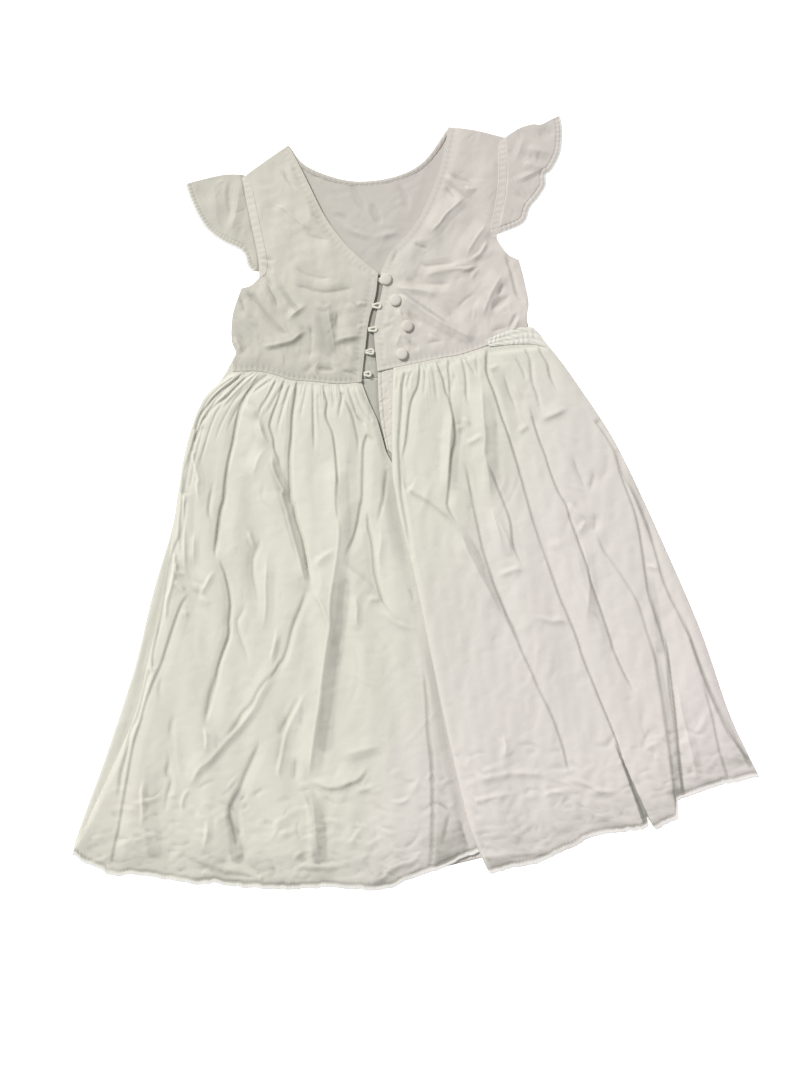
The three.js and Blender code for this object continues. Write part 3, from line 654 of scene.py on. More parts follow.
CREASES_RIGHT = [
    # gathers and creases that start at the waist
    (-0.9, 2.2, 3, (14, 5), (12, -7), (8, -18)),
    (-1.6, 3.1, 4.2, (21, 1), (17, -12), (15, -24), (13, -37), (10, -53), (7, -71), (6, -86),
     (5, -106), (4, -121), (5, -137), (6, -151), (6, -168), (7, -185)),
    (-1.0, 2.2, 3, (27, 2), (22, -10), (19, -21)),
    (-1.5, 2.2, 9, (37, 10), (34, -7), (31, -17), (25, -27), (21, -39), (18, -53), (15, -67),
     (10, -82), (9, -91), (9, -113), (11, -118)),
    (-0.9, 2.2, 3, (42, 7), (39, -10), (36, -29)),
    (-0.9, 2.2, 3, (48, 5), (49, -11), (49, -27), (50, -38)),
    (-1.7, 2.2, 9, (53, 9), (56, -3), (58, -12), (59, -23), (62, -31), (63, -42), (64, -56),
     (63, -72), (57, -91), (51, -125), (49, -137), (53, -148), (59, -160)),
    (-1.5, 2.2, 9, (65, 9), (64, -3), (64, -13), (63, -26), (63, -39)),
    (2.9, 9, 10, (63, -31), (62, -50), (57, -76), (52, -110), (49, -131)),
    (-0.9, 2.2, 3, (70, -3), (66, -16), (64, -24)),
    (-1.1, 2.2, 3, (78, 10), (80, -5), (80, -17), (79, -32), (82, -45)),
    (-1.0, 2.2, 3, (81, 10), (84, 3), (88, -5), (90, -13)),
    (-0.9, 2.2, 3, (93, 11), (92, -4), (92, -16)),
    (-2.4, 2.4, 16, (105, 16), (103, 5), (102, -7), (104, -17), (108, -32), (112, -53), (117, -72),
     (122, -97), (125, -113), (129, -137), (133, -160), (139, -186), (145, -212), (151, -238),
     (157, -257), (164, -282), (168, -302), (174, -323), (180, -344), (186, -364), (192, -385),
     (197, -408), (202, -428), (207, -447), (213, -470)),
    (2.9, 12, 12, (95, -13), (94, -35), (93, -53), (93, -71), (90, -88), (91, -95), (92, -111),
     (92, -126), (92, -138)),
    (-1.7, 8, 8, (119, -1), (119, -16), (121, -30), (125, -43), (130, -60)),
    (-1.1, 2.2, 3, (130, 7), (135, -4), (138, -12), (139, -23)),
    (-1.2, 2.7, 3.5, (142, 13), (146, 0), (146, -9), (146, -23), (149, -35), (150, -46),
     (151, -58)),
    (-1.5, 2.2, 9, (154, 18), (158, 5), (163, -6), (164, -17), (168, -30), (171, -39)),
    (-2.0, 2.4, 16, (141, -42), (142, -53), (144, -65), (147, -80), (151, -94), (152, -99),
     (155, -114), (161, -135), (167, -148), (170, -164), (174, -179), (177, -193), (181, -209),
     (183, -226), (189, -249), (197, -285), (199, -297), (205, -316), (210, -329), (217, -344)),
    (2.0, 3.2, 13.2, (147, -64), (154, -60), (164, -57), (172, -54), (181, -51)),
    (1.1, 3.2, 6.6, (124, -72), (132, -68), (139, -64)),
    (1.1, 4.2, 4.4, (102, -5), (109, -4), (116, -1)),
    (1.5, 3.2, 5.5, (71, -78), (80, -75), (87, -72), (93, -72)),
    (1.0, 3.2, 3.3, (64, -61), (70, -60), (74, -61)),
    (1.0, 3.2, 3.3, (72, -51), (76, -54), (79, -59)),
    # the long folds of the middle
    (2.0, 3.2, 17.6, (11, -115), (22, -123), (32, -130), (40, -138), (47, -145), (54, -152),
     (60, -160)),
    (2.7, 14, 9, (59, -160), (62, -179), (69, -198), (76, -216), (84, -234), (90, -247)),
    (-1.9, 2.4, 16, (70, -93), (72, -108), (74, -127), (76, -148), (78, -168), (80, -185),
     (84, -204), (88, -222), (93, -239), (97, -255), (102, -269), (110, -295), (115, -309),
     (121, -329), (129, -350), (135, -371), (139, -390), (141, -408), (143, -420)),
    (-1.6, 2.4, 16, (92, -95), (99, -118), (105, -138), (110, -159), (110, -181), (113, -193),
     (117, -208)),
    (2.0, 9, 9, (91, -138), (94, -157), (97, -173), (99, -192)),
    (1.2, 3.2, 5.5, (87, -213), (97, -210), (107, -207), (115, -207), (123, -209)),
    (1.2, 3.7, 5.5, (136, -419), (146, -423), (157, -427), (165, -433), (176, -437), (187, -439)),
    (1.9, 16, 8, (179, -183), (181, -209), (180, -234), (177, -251), (173, -268)),
    (-1.2, 2.4, 16, (193, -174), (199, -196), (208, -212), (221, -237), (229, -256), (234, -283),
     (239, -308), (240, -324), (242, -352), (243, -380), (244, -409), (244, -425), (245, -449)),
    (-2.2, 2.4, 16, (204, -67), (213, -83), (221, -101), (224, -120), (229, -141), (234, -160),
     (237, -181), (238, -201), (239, -224), (240, -244), (243, -261), (249, -291), (252, -313),
     (251, -339), (252, -369), (252, -398), (252, -422), (254, -450)),
    (-2.2, 2.4, 16, (223, -98), (226, -117), (231, -133), (239, -155), (244, -173), (249, -194),
     (252, -210), (255, -229), (260, -248), (267, -266), (276, -292), (277, -298), (283, -324),
     (290, -351), (298, -374), (304, -391), (314, -408), (322, -422)),
    (-1.5, 2.2, 9, (282, -332), (286, -349), (290, -373), (293, -402), (296, -422), (299, -437)),
    (1.6, 5.2, 6.6, (258, -334), (259, -362), (262, -387), (265, -411), (267, -435)),
    (1.8, 8.4, 4.4, (168, -145), (175, -155), (186, -165)),
    (1.4, 4.2, 6.6, (186, -164), (180, -171), (176, -179)),
    (-1.4, 5.2, 5.5, (177, -96), (181, -114), (185, -126), (187, -138)),
    (-1.2, 5.2, 5.5, (197, -115), (196, -125), (190, -138)),
    (-1.7, 7, 7, (194, -158), (194, -169), (190, -179)),
    (1.1, 3.2, 4.4, (238, -216), (246, -219), (253, -223)),
    (1.2, 3.2, 6.6, (118, -257), (130, -258), (140, -262), (153, -263), (160, -274)),
    (0.8, 4.2, 6.6, (141, -186), (151, -187), (161, -187)),
    (1.9, 14, 14, (95, -151), (104, -175), (107, -196)),
    # low on the right half
    (1.2, 4.2, 7.7, (42, -413), (73, -409), (93, -410), (126, -416)),
    (1.0, 3.2, 5.5, (108, -437), (124, -432), (140, -436)),
    (1.4, 4.2, 7.7, (148, -448), (158, -455), (168, -461), (181, -460)),
    (1.0, 3.2, 4.4, (44, -433), (64, -430), (89, -429)),
    (1.4, 3.2, 7.7, (46, -489), (84, -490), (118, -492), (139, -484), (154, -479)),
    (1.2, 6, 6, (79, -367), (81, -384), (74, -395)),
]

BODICE_LEFT = [
    (-1.1, 3, 4, (-71, 219), (-67, 212), (-59, 206)),
    (-1.2, 3, 4, (-81, 215), (-75, 202), (-68, 193)),
    (-0.9, 3, 4, (-69, 209), (-64, 203), (-59, 196)),
    (1.9, 8, 13, (-93, 181), (-82, 175), (-74, 166), (-65, 157), (-57, 151)),
    (-1.1, 10, 10, (-65, 149), (-53, 143), (-38, 139)),
    (-0.8, 3, 4, (-58, 169), (-51, 164), (-42, 160)),
    (-0.9, 7, 7, (-113, 199), (-113, 188), (-107, 178)),
    (-1.0, 3, 4, (-112, 131), (-105, 127), (-97, 125)),
    (-1.0, 3, 4, (-113, 123), (-105, 119), (-100, 113)),
    (-1.2, 4, 5, (-113, 117), (-107, 108), (-101, 97)),
    (-1.0, 8, 8, (-79, 118), (-68, 108), (-55, 103), (-40, 102)),
    (-0.9, 4, 4, (-26, 117), (-16, 109), (-5, 102)),
    (-2.3, 6, 5, (-131, 98), (-124, 91), (-119, 85), (-114, 77), (-108, 68), (-100, 57), (-91, 49)),
    (-1.5, 5, 9, (-110, 107), (-105, 96), (-101, 86), (-100, 75)),
    (1.2, 7, 5, (-137, 80), (-130, 69), (-120, 61)),
    (1.9, 3.5, 10, (-121, 41), (-110, 41), (-100, 42), (-89, 44), (-81, 49), (-73, 53)),
    (1.4, 4, 6, (-92, 64), (-83, 71), (-69, 78)),
    (2.3, 4, 11, (-50, 38), (-39, 40), (-30, 41), (-21, 41), (-13, 39)),
    (-1.7, 4, 6, (-68, 14), (-59, 12), (-48, 10)),
    (1.2, 3, 4, (-70, 14), (-68, 7), (-63, -1)),
    (-1.1, 2.5, 4, (-44, 9), (-34, 6), (-21, 1)),
    (-0.9, 2.5, 4, (-33, 10), (-26, 7), (-20, 5)),
    (1.4, 5, 6, (-35, 34), (-29, 24), (-20, 14)),
    (-1.6, 11, 9, (-68, 60), (-70, 47), (-72, 33), (-74, 21)),
    (-1.2, 8, 8, (-40, 71), (-42, 61), (-45, 48)),
    (1.2, 9, 7, (-50, 74), (-49, 58), (-48, 40), (-48, 26)),
    (-1.1, 7, 7, (-83, 98), (-69, 95), (-52, 89), (-34, 89), (-20, 91)),
    (0.9, 3, 4, (-63, 79), (-53, 73), (-44, 78)),
    (0.9, 4, 4, (-32, 75), (-23, 69), (-19, 70)),
    (1.1, 2.5, 3, (-22, 74), (-15, 73), (-8, 72)),
    (1.1, 2.5, 3, (-23, 49), (-17, 51), (-11, 50)),
    (-0.9, 4, 4, (-84, 14), (-77, 13), (-70, 20)),
    (-0.9, 3, 3, (-138, 94), (-134, 85), (-133, 75)),
    (1.5, 6, 6, (-147, 55), (-142, 45), (-141, 36)),
]

BODICE_RIGHT = [
    (1.6, 4, 6, (75, 193), (81, 190), (91, 182), (99, 174), (106, 166)),
    (1.0, 4, 4, (98, 179), (104, 176), (111, 174)),
    (1.9, 14, 8, (100, 170), (89, 162), (77, 153), (69, 144), (58, 136)),
    (1.9, 13, 10, (118, 140), (107, 129), (99, 119), (92, 108)),
    (1.2, 3, 4, (117, 126), (112, 117), (106, 110), (95, 104)),
    (-1.1, 4, 5, (41, 129), (49, 124), (58, 122)),
    (-1.1, 4, 4, (27, 128), (22, 117), (17, 109)),
    (-1.2, 9, 9, (84, 194), (94, 188), (112, 180)),
    (-1.3, 7, 9, (79, 183), (86, 171), (91, 165)),
    (2.5, 8, 12, (21, 80), (31, 71), (39, 64), (48, 56), (60, 47), (71, 40), (80, 34), (94, 25)),
    (1.8, 5, 8, (16, 87), (31, 83), (44, 81), (53, 77), (61, 70)),
    (-1.7, 8, 10, (29, 94), (43, 89), (58, 85), (77, 84)),
    (1.2, 9, 9, (46, 94), (66, 97), (84, 98), (103, 98)),
    (-1.3, 4, 6, (46, 109), (53, 104), (67, 104), (85, 105)),
    (1.3, 3, 4, (82, 99), (89, 96), (97, 97), (104, 100)),
    (0.9, 3, 3, (106, 97), (99, 91), (94, 85)),
    (-1.9, 14, 12, (101, 74), (89, 68), (78, 59), (66, 49)),
    (1.9, 13, 11, (129, 90), (118, 76), (110, 63), (102, 46)),
    (-1.6, 5, 6, (109, 51), (118, 57), (129, 64), (134, 69)),
    (-1.1, 4, 5, (119, 65), (124, 71), (128, 80)),
    (-1.3, 3, 3.5, (132, 110), (136, 92), (138, 79), (140, 66), (146, 56)),
    (-1.1, 4, 5, (108, 30), (117, 33), (129, 35)),
    (1.5, 5, 5, (21, 67), (22, 57), (30, 49)),
    (-1.5, 4, 5, (28, 63), (34, 53), (43, 46)),
    (-1.3, 5, 5, (25, 34), (31, 27), (37, 20)),
    (0.9, 3, 3, (47, 37), (52, 32), (58, 27)),
    (-0.9, 3, 3, (1, 48), (7, 48), (14, 51)),
    (1.0, 3, 3, (-7, 38), (-4, 34), (2, 30)),
    (1.1, 8, 8, (20, 42), (16, 32), (12, 25)),
    (-1.0, 9, 9, (41, 26), (54, 28), (64, 28)),
    (1.0, 4, 5, (140, 45), (134, 34), (128, 26)),
    (-1.0, 3, 4, (139, 50), (133, 40), (127, 31)),
]

BODICE_BACK = [
    (-0.9, 5, 6, (-16, 198), (-10, 184), (-6, 172), (-1, 162)),
    (-0.8, 4, 5, (4, 174), (7, 161), (11, 147)),
    (-0.9, 3, 4, (-40, 165), (-30, 163), (-19, 159)),
    (0.9, 4, 5, (-34, 160), (-22, 150), (-13, 145), (-3, 140), (9, 138)),
    (-0.8, 5, 5, (3, 175), (8, 161), (11, 148)),
    (0.9, 4, 5, (-1, 139), (12, 139), (25, 140), (38, 137)),
    (-0.8, 5, 5, (32, 191), (38, 176), (40, 159)),
]
SIDE_GATHERS = [
    (-0.9, 1.5, 2.0, (-150, 14), (-172, 0), (-186, -18), (-202, -60), (-214, -100)),
    (-0.8, 1.5, 2.0, (-144, 14), (-166, -3), (-181, -22), (-196, -60), (-206, -92)),
    (-0.9, 1.5, 2.2, (-137, 14), (-159, -5), (-175, -26), (-189, -58), (-196, -76)),
    (-0.7, 1.5, 2.2, (-130, 13), (-151, -8), (-168, -32), (-178, -55)),
    (-0.8, 1.5, 2.4, (-123, 13), (-143, -8), (-158, -30), (-164, -44)),
]
# Shade inside deep folds: strength, half-width at the line's start and end, and the line.
SHADES_LEFT = [
    (1.1, 1.0, 17, (14, -248), (15, -370), (15, -491)),
    (1.1, 4.0, 3.0, (-126, -65), (-119, -91), (-111, -140), (-103, -184)),
    (1.1, 8.0, 6.0, (-9, -85), (-8, -130), (-3, -200)),
    (1.0, 3, 3, (-163, 12), (-188, -15), (-202, -57), (-219, -120)),
    (0.9, 4, 2.5, (-161, -67), (-177, -114), (-187, -163)),
    (0.9, 6, 5, (-40, -15), (-35, -45), (-47, -108)),
    (1.3, 6, 9, (-59, -176), (-68, -234), (-84, -292), (-98, -360)),
    (0.8, 5, 4, (-113, -220), (-132, -257), (-150, -290)),
    (1.0, 8, 7, (-178, -322), (-200, -344), (-226, -376)),
    (1.3, 6, 7, (-183, -390), (-198, -423), (-197, -463)),
    (1.3, 6, 8, (-122, -397), (-113, -432), (-115, -471)),
    (0.8, 7, 8, (-271, -361), (-278, -400), (-278, -449)),
    (1.1, 4, 3, (-226, -149), (-246, -196), (-260, -254)),
    (0.8, 5, 4, (-205, -181), (-218, -209), (-234, -242)),
    (0.7, 6, 5, (-143, -315), (-139, -346), (-150, -384)),
]
SHADES_RIGHT = [
    (2.7, 0.3, 4.0, (187, -382), (200, -425), (214, -474)),
    (1.2, 2.5, 4.0, (237, -281), (244, -340), (246, -373), (246, -450)),
    (2.0, 0.6, 1.6, (248, -270), (252, -303), (253, -375), (252, -450)),
    (1.1, 6.0, 5.0, (69, -20), (63, -70), (52, -128)),
    (1.1, 7.0, 6.0, (100, -50), (97, -90), (94, -132)),
    (0.9, 6, 4, (108, 4), (119, -38), (124, -83)),
    (1.0, 3.5, 3, (54, -152), (73, -189), (88, -236), (110, -288)),
    (0.8, 4, 3, (174, -184), (183, -245), (197, -302)),
    (1.2, 3.5, 3.4, (230, -110), (240, -156), (248, -202)),
    (1.2, 3, 4, (243, -222), (245, -262), (245, -302)),
    (1.3, 1.5, 2.6, (269, -265), (290, -347), (322, -426)),
]
SHADES_BODICE = [
    (0.7, 11, 10, (-54, 72), (-54, 50), (-59, 23)),
    (0.9, 3, 2.5, (-98, 104), (-88, 85), (-76, 68)),
    (0.8, 4, 3, (-59, 192), (-49, 159), (-34, 130)),
    (1.3, 1.8, 1.6, (21, 84), (46, 63), (75, 38)),
    (1.0, 3.5, 2.5, (49, 94), (86, 99), (131, 113)),
    (0.8, 5, 4, (76, 136), (52, 121), (32, 104)),
    (0.8, 5, 4, (112, 82), (92, 66), (72, 55)),
    (0.9, 3, 3, (137, 171), (131, 149), (123, 127)),
]
SKIRT_BACK = [
    (-0.7, 2, 4, (-206, -60), (-219, -105), (-229, -145), (-243, -185), (-262, -235), (-282, -290)),
    (0.6, 3, 2, (-226, -128), (-240, -170), (-256, -212), (-272, -256), (-290, -305), (-310, -350)),
    (-0.6, 2, 3, (-245, -190), (-268, -250), (-296, -322), (-325, -385), (-350, -432)),
    (0.5, 2, 2, (-262, -225), (-276, -262), (-290, -298)),
]
SLEEVE_LEFT = [
    (2.0, 6, 8, (-123, 212), (-126, 197), (-132, 174), (-143, 152)),
    (-1.2, 4, 5, (-129, 214), (-136, 200), (-137, 180), (-140, 166)),
    (1.0, 8, 8, (-152, 212), (-150, 190), (-152, 165)),
]
SLEEVE_RIGHT = [
    (1.4, 6, 7, (160, 228), (161, 219), (155, 205), (148, 195)),
    (2.2, 6, 8, (156, 199), (170, 192), (186, 186)),
    (1.6, 4, 5, (148, 179), (162, 183), (178, 189)),
    (1.4, 6, 6, (190, 200), (178, 206), (160, 211)),
    (-1.4, 7, 8, (196, 222), (186, 224), (176, 220)),
    (-1.2, 6, 8, (148, 170), (156, 162), (166, 158)),
]


def gathers(u, count, seed, height, reach, down):
    """Fine gathers that fan down from the waist between narrow troughs, no two alike."""
    draw = np.random.default_rng(seed)
    knots = np.r_[0, np.cumsum(draw.uniform(0.35, 1.8, count))]
    knots /= knots[-1]
    cell = np.interp(u + 0.004 * np.sin(down / 9 + 40 * u), knots, np.arange(count + 1))
    k = np.clip(cell.astype(int), 0, count - 1)
    tall = draw.uniform(0.3, 1.2, count)[k] * height
    reach_k = (0.25 + draw.uniform(0, 1, count) ** 2)[k] * reach
    fade = np.exp(-(down / reach_k) ** 1.4)
    lean = draw.uniform(0.7, 1.4, count)[k]
    return tall * fade * (np.sin(np.pi * (cell - k) ** lean) ** 0.75 - 0.5)


def hem_puckers(x, inside, seed):
    """A narrow rolled hem: a raised edge, a stitched groove and small puckers along it."""
    draw = np.random.default_rng(seed)
    roll = 0.7 * smooth((4.4 - inside) / 1.6)
    groove = -0.6 * np.exp(-((inside - 5.2) / 1.1) ** 2)
    ripple = np.sin(x * 2 * math.pi / 3.3 + 1.7 * np.sin(x / 9.0)) * np.sin(x / 13.0 + draw.uniform(0, 6))
    return roll + groove + 0.35 * ripple * np.exp(-((inside - 4.5) / 4.0) ** 2)


def soft_floor(z):
    """Keeps cloth from sinking into the layer under it, without a hard edge."""
    return np.where(z > LEAST_LIFT, z, LEAST_LIFT * np.exp(np.clip(z - LEAST_LIFT, -6, 0) / LEAST_LIFT))


def extent(x, y):
    """The area that a grid takes in: its least x and y, then its greatest."""
    return x.min(), y.min(), x.max(), y.max()


def lengths(x, y, axis):
    """How far each grid point lies along its row or column."""
    first = (slice(None, 1), slice(None)) if axis == 0 else (slice(None), slice(None, 1))
    return np.cumsum(np.hypot(np.diff(x, axis=axis, prepend=x[first]),
                              np.diff(y, axis=axis, prepend=y[first])), axis=axis)


# -------------------------------------------------------------------------------- front skirts

def front_skirt(name, edges, table, shades, base, settle, gather, seed, columns, rows):
    us = np.linspace(0, 1, columns)
    vs = shares(rows, top=0.45, bottom=0.6)
    x, y = patch(*edges, us, vs)
    u, v = np.broadcast_to(us, x.shape), np.broadcast_to(vs[:, None], x.shape)
    down, across = lengths(x, y, 0), lengths(x, y, 1)
    from_hem = down[-1:] - down
    from_side = np.minimum(across, across[:, -1:] - across)
    z = SKIRT_LIFT + fold_table(x, y, table, np.vstack([line[::4] for line in edges]), 0.5)
    z += gathers(u, gather[0], seed, gather[1], gather[2], down)
    z += (2.2 * swell(x, y * 0.25, 46, seed) + 0.5 * swell(x, y * 0.4, 19, seed + 5)) * smooth(v * 4)
    area = extent(x, y)
    low = (x.min(), y.min(), x.max(), y.min() + 125)
    z += crinkles(x, y, 90, area, 80, 22, 60, 0.4, 6, seed + 1)
    z += crinkles(x, y, 190, low, 12, 25, 22, 0.75, 3.0, seed + 2)
    z += crinkles(x, y, 200, area, 30, 60, 14, 0.22, 2.2, seed + 3)
    z += (0.6 + 1.4 * smooth(1 - from_hem / 110)) * crumple(x, y * 1.3, 17, 5, seed + 4)
    z += 1.3 * smooth(1 - from_hem / 80) * crumple(x * 0.6, y * 1.6, 9, 4, seed + 6)
    z = soft_floor(z)
    at_hem = 0.45 * smooth((from_hem + 2) / 14) + 0.55 * smooth(from_hem / 55)
    at_side = smooth((from_side + 2) / 9)
    z = 0.4 + (z - 0.4) * (0.2 + 0.8 * np.minimum(at_hem, at_side)) * (0.3 + 0.7 * smooth(down / 10))
    z = base(x, y) + settle(x, y, z) + hem_puckers(x, from_hem, seed)
    # painted highlight along the hem's rolled rim, uneven along it
    hem_rim_highlight = smooth((3.4 - from_hem) / 1.4) * (0.75 + 0.25 * np.sin(x * 2.1) * np.sin(x / 2.7))
    # painted shade: a patchy darker band above the hem, where the cloth slopes down away from the light
    shade_above_hem = smooth(1 - from_hem / 60) * smooth(from_hem / 4)
    shade_above_hem *= 0.8 + 0.8 * swell(x, y * 2.5, 40, seed + 7)
    tone = np.where(from_hem < 3.4, hem_rim_highlight, -1.5 * shade_above_hem - inner_shade(x, y, shades))
    return shell(name, x, y, z, cotton, tone=tone)


def flat_front(x, y):
    return np.full(x.shape, FRONT_Z)


def under_lap(x, y, z):
    """The left skirt flattens where the right one lies over it."""
    d, _ = distance(x, y, spline(LAP, 6))
    return z + (np.minimum(z, 0.9) - z) * smooth((d + 12) / 14)


def lapped_front(x, y):
    inside = np.abs(distance(x, y, spline(LAP, 6))[0])
    return FRONT_Z + (LAP_Z - FRONT_Z) * (1 - smooth((inside - 24) / 26))


def rolled_lap(x, y, z):
    """The right skirt's front edge is a fold: round, and a little higher than the cloth by it."""
    inside = np.abs(distance(x, y, spline(LAP, 6))[0])
    z = np.maximum(z, 1.2 * (1 - smooth((inside - 16) / 20)))
    z += (np.minimum(z, 1.0) - z) * smooth((y - 8) / 6) * smooth((x - 98) / 10)
    return z + 0.4 * np.exp(-((inside - 2.4) / 2.2) ** 2) - 0.6 * np.exp(-(inside / 1.3) ** 2)


skirt_left = front_skirt(
    "skirt_front_left", (spline(WAIST_LEFT), ragged(spline(HEM_LEFT), 1.0, 3), spline(SKIRT_SIDE_LEFT),
                         edge(SLIT_LEFT, UNDERLAP)),
    CREASES_LEFT + SIDE_GATHERS, SHADES_LEFT, flat_front, under_lap, (46, 1.1, 30), 11, 281, 275)
skirt_right = front_skirt(
    "skirt_front_right", (spline(WAIST_RIGHT), ragged(edge(*HEM_RIGHT), 0.8, 4), spline(LAP),
                          spline(SKIRT_SIDE_RIGHT)),
    CREASES_RIGHT, SHADES_RIGHT, lapped_front, rolled_lap, (44, 1.0, 26), 23, 281, 275)


# -------------------------------------------------------------------------------- front bodice

BODICE_LIFT = 2.4                      # how far a front bodice's cloth stands off the back
FACING = 8.5                           # width of the band sewn along each armhole


def seam_rim(x, y, line, width, rise):
    """A doubled edge: thicker by rise as far as its row of stitches, which draws the cloth in."""
    d, share = distance(x, y, spline(line, 6))
    length = np.linalg.norm(np.diff(spline(line, 6), axis=0), axis=1).sum()
    d = np.abs(d)
    stitch = 0.8 + 0.35 * np.sin(share * length * 2 * math.pi / 2.9)
    pucker = 0.16 * np.sin(share * length * 2 * math.pi / 5.3) * np.exp(-((d - width) / 3.0) ** 2)
    return (rise * (1 - smooth((d - width + 0.6) / 1.2)) + pucker
            - 0.4 * stitch * np.exp(-((d - width + 0.8) / 0.6) ** 2))


def bodice_height(table, seed, area, armhole, rims, waist):
    """The height of a front bodice at any place on it."""
    def height(x, y):
        z = BODICE_LIFT + 1.2 * fold_table(x, y, table, crisp=0.45, fade=12)
        z += 1.5 * swell(x, y, 42, seed) + 0.3 * swell(x, y, 16, seed + 4)
        z += 0.7 * crumple(x, y, 14, 5, seed + 5)
        z += crinkles(x, y, 50, area, 0, 60, 28, 0.3, 4.5, seed + 1)
        z += crinkles(x, y, 60, area[:3] + (area[1] + 60,), 80, 30, 18, 0.3, 3, seed + 2)
        z += crinkles(x, y, 90, area, 0, 70, 10, 0.18, 2, seed + 3)
        z = soft_floor(z)
        near_seam = np.full(x.shape, np.inf)
        for line in (armhole, *rims, waist):
            near_seam = np.minimum(near_seam, np.abs(distance(x, y, spline(line, 6))[0]))
        z = 0.5 + (z - 0.5) * (0.25 + 0.75 * smooth((near_seam - 1) / 14))
        for line in rims:
            z += seam_rim(x, y, line, 6.0, 0.45)
        z += seam_rim(x, y, waist, 3.2, 0.5)
        return FRONT_Z + z
    return height


def front_bodice(name, edges, height, greyer):
    """greyer paints shade onto the bodice in patches, from none at its first height to full at its second,
    for the weaker light there; its deep folds get painted shade as well.
    """
    x, y = patch(*edges, np.linspace(0, 1, 181), np.linspace(0, 1, 201))
    strength, start, end = greyer
    tone = -strength * smooth((y - start) / (end - start)) * (0.8 + 0.5 * swell(x, y, 55, 81))
    tone -= inner_shade(x, y, SHADES_BODICE)
    return shell(name, x, y, height(x, y), shaded_bodice_cotton, tone=tone)


left_height = bodice_height(BODICE_LEFT, 31, (-150, 0, 5, 240), ARMHOLE_LEFT,
                            (NECK_FRONT_LEFT, OPENING_LEFT), WAIST_LEFT)
right_height = bodice_height(BODICE_RIGHT, 37, (-8, 5, 150, 240), ARMHOLE_RIGHT,
                             (NECK_FRONT_RIGHT, OPENING_RIGHT), [WAIST_SLIT_RIGHT] + WAIST_RIGHT)
bodice_left = front_bodice(
    "bodice_front_left", (spline([SHOULDER_LEFT, (-111, 217), NECK_LEFT]), spline(WAIST_LEFT),
                          edge(ARMHOLE_LEFT, UNDERARM_LEFT, SIDE_LEFT),
                          edge(NECK_FRONT_LEFT, OPENING_LEFT)),
    left_height, (1.1, 125, 70))
bodice_right = front_bodice(
    "bodice_front_right", (spline([NECK_RIGHT, (117, 233), SHOULDER_RIGHT]),
                           edge([WAIST_SLIT_RIGHT, WAIST_LAP], WAIST_RIGHT),
                           edge(NECK_FRONT_RIGHT, OPENING_RIGHT),
                           edge(ARMHOLE_RIGHT, UNDERARM_RIGHT, SIDE_RIGHT)),
    right_height, (0.5, 95, 140))


def ribbon(line, width, count):
    """A grid along a line, from the line itself to its right-hand side as it runs."""
    middle = along(line, np.linspace(0, 1, count))
    way = np.gradient(middle, axis=0)
    way /= np.linalg.norm(way, axis=1)[:, None]
    out = np.stack([way[:, 1], -way[:, 0]], -1)
    ends = np.linspace(0, 1, count)
    steps = np.linspace(0, width, 15) * (1 - 0.8 * np.exp(-np.minimum(ends, 1 - ends) * 30))[:, None]
    grid = middle[:, None] + out[:, None] * steps[..., None]
    return grid[..., 0], grid[..., 1], steps


def band(name, line, height):
    """The folded strip that finishes an armhole, two rows of stitches holding it down."""
    x, y, step = ribbon(line, FACING, 121)
    z = height(x, y) + 0.3 - 0.15 * np.exp(-((step - FACING + 1.4) / 0.5) ** 2)
    z -= 0.25 * np.exp(-((step - 1.3) / 0.5) ** 2) + 0.3 * smooth((0.8 - step) / 0.8)
    z += 0.14 * np.sin(y * 2 * math.pi / 6.1 + 2 * np.sin(y / 11)) * np.sin(step / FACING * math.pi)
    return shell(name, x, y, z, trim_cotton, thickness=0.8, floor=FRONT_Z)


band_left = band("armhole_band_left", spline(ARMHOLE_LEFT[::-1]), left_height)
band_right = band("armhole_band_right", spline(ARMHOLE_RIGHT), right_height)


# -------------------------------------------------------------------------------- back panels

BACK_WAIST_LEFT, BACK_WAIST_RIGHT = (-150, 25.4), (149, 25.4)
SKIRT_TOP_LEFT, SKIRT_TOP_RIGHT = (-174, -2.4), (174, -2.4)
FACING_EDGE = [WAIST_SLIT_RIGHT, (-9, -24), (-9, -47), (-6, -74)]
FACING_TIP = (4, -84)
SKIRT_BACK_HEM = [HEM_SIDE_LEFT, (-225, -483), (-66, -500), (52, -490), (200, -467), (252, -447),
                  HEM_SIDE_RIGHT]
BINDING_WIDTH = 4.6


def within_opening(x, y):
    """How shaded the back lies where it shows through the narrow front opening."""
    right = distance(x, y, edge(OPENING_RIGHT, FACING_EDGE))[0]
    inside = smooth((106 - y) / 8) * smooth((x + 45) / 5) * smooth((20 - x) / 5) * smooth((y + 95) / 5)
    return -inside * (1.75 + 0.8 * smooth(1 - np.abs(right) / 5) + 0.3 * swell(x, y, 12, 77))


def back_panel(name, edges, seed, material, table, room, columns=151, rows=151):
    """A back panel: room says how far it may rise above its flat height at any place."""
    x, y = patch(*edges, np.linspace(0, 1, columns), np.linspace(0, 1, rows))
    area = extent(x, y)
    free = room(x, y)
    z = BACK_Z + 0.45 * free + fold_table(x, y, table) * np.minimum(free, 1.6)
    z += (0.3 * swell(x, y, 60, seed) + 0.5 * crumple(x, y, 15, 5, seed + 2)) * (0.5 + free)
    z += crinkles(x, y, 50, area, 0, 40, 50, 0.3, 5, seed + 1)
    z = np.clip(z, CLOTH, 1.7 + free)
    return shell(name, x, y, z, material, tone=within_opening(x, y))


def room_in_neck(x, y):
    """The bodice's back is free to rise inside the V of the neck."""
    left = distance(x, y, edge(NECK_FRONT_LEFT))[0]
    right = distance(x, y, edge(NECK_FRONT_RIGHT))[0]
    return 1.5 * smooth((np.minimum(left, -right) - 2) / 14) * smooth((y - 104) / 14)


def room_at_side(x, y):
    """And the skirt's where it shows beyond the front's left edge."""
    return 0.8 * smooth((-distance(x, y, spline(SKIRT_SIDE_LEFT))[0] - 1) / 6)


